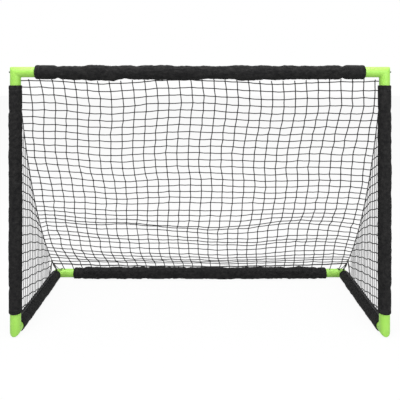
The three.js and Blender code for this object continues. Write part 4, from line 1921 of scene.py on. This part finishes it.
@dataclass
class Studio:
    """The photograph's camera in front of a white floor and sky, with soft light."""

    picture: int = 400  # pixels each way
    focal: float = 492.4  # pixels
    horizon: float = 80.0  # pixels from the top
    camera_at: Vector = field(default_factory=lambda: Vector((0.0, -2.265, 1.0263)))
    sensor: float = 36.0
    sky_light: float = 0.44
    floor_glow: float = 0.93  # share of the floor that the camera sees plain white, without shadow
    floor_size: float = 60.0
    floor_bounce: Colour = (0.40, 0.40, 0.40, 1.0)  # what it throws back on the goal
    floor_shade: Colour = (0.90, 0.90, 0.90, 1.0)  # what the camera sees of it under the glow
    aim: Vector = field(default_factory=lambda: Vector((0, 0, 0.5)))  # what the lamps light

    def camera(self) -> None:
        """Adds the camera, level, with the horizon where the photograph has it."""
        data = bpy.data.cameras.new("camera")
        data.sensor_width = self.sensor
        data.lens = self.focal / self.picture * self.sensor
        data.shift_y = (self.horizon - self.picture / 2) / self.picture
        made = linked("camera", data)
        made.location = self.camera_at
        made.rotation_euler = (math.pi / 2, 0, 0)
        bpy.context.scene.camera = made

    def sky(self) -> None:
        """Adds a sky that lights plainly and that the camera and reflections see white."""
        world = bpy.data.worlds.new("studio")
        bpy.context.scene.world = world
        nodes = Nodes(world)
        path = nodes.node("ShaderNodeLightPath")
        seen = nodes.number(path, "Is Camera Ray")
        for ray in ("Is Transmission Ray", "Is Glossy Ray"):
            seen = seen.or_more(nodes.number(path, ray))
        light, white = (
            nodes.node("ShaderNodeBackground", inputs={"Color": WHITE, "Strength": strength}).outputs[0]
            for strength in (self.sky_light, 1.0)
        )
        mixed = nodes.node("ShaderNodeMixShader", inputs={0: seen, 1: light, 2: white})
        nodes.node("ShaderNodeOutputWorld", inputs={"Surface": mixed.outputs[0]})

    def floor(self) -> None:
        """Adds the white floor, which keeps a soft shadow."""
        bm = bmesh.new()
        bmesh.ops.create_grid(bm, x_segments=1, y_segments=1, size=self.floor_size / 2)
        made = linked("studio_floor", mesh_of("studio_floor", bm))
        paint = Paint("floor_white", Roughness=0.9)
        glow = paint.node("ShaderNodeEmission", inputs={"Color": WHITE, "Strength": 1.0})
        path = paint.node("ShaderNodeLightPath")
        to_camera = paint.number(path, "Is Camera Ray")
        paint.finish(colour=paint.mix(self.floor_bounce, self.floor_shade, to_camera))
        seen = to_camera + paint.number(path, "Is Glossy Ray")
        shares = {0: seen * self.floor_glow, 1: paint.surface.outputs[0], 2: glow.outputs[0]}
        mixed = paint.node("ShaderNodeMixShader", inputs=shares)
        paint.tree.links.new(mixed.outputs[0], paint.output.inputs["Surface"])
        made.data.materials.append(paint.material)

    def build(self) -> None:
        """Makes the camera, sky, floor and lamps."""
        self.camera()
        self.sky()
        self.floor()
        for name, at, size, watts in (
            ("key_lamp", (-1.6, -3.0, 4.2), 2.6, 80.0),
            ("fill_lamp", (1.6, -3.4, 1.6), 3.0, 52.0),
            ("top_lamp", (0.0, -0.4, 4.2), 3.0, 95.0),
        ):
            Lamp(name, Vector(at), self.aim, size, watts).make()
        bpy.context.scene.view_settings.view_transform = "Standard"


def main() -> None:
    """Builds the studio and the goal in order."""
    logging.basicConfig(level=logging.INFO, format="%(name)s: %(message)s")
    places = Places.of_frame()
    Studio().build()
    for group in (Nets(places), Sleeves(places), Corners(places)):
        group.build()
        LOG.info("%s: %d pieces", type(group).__name__, len(group.made))


if __name__ == "__main__":
    main()
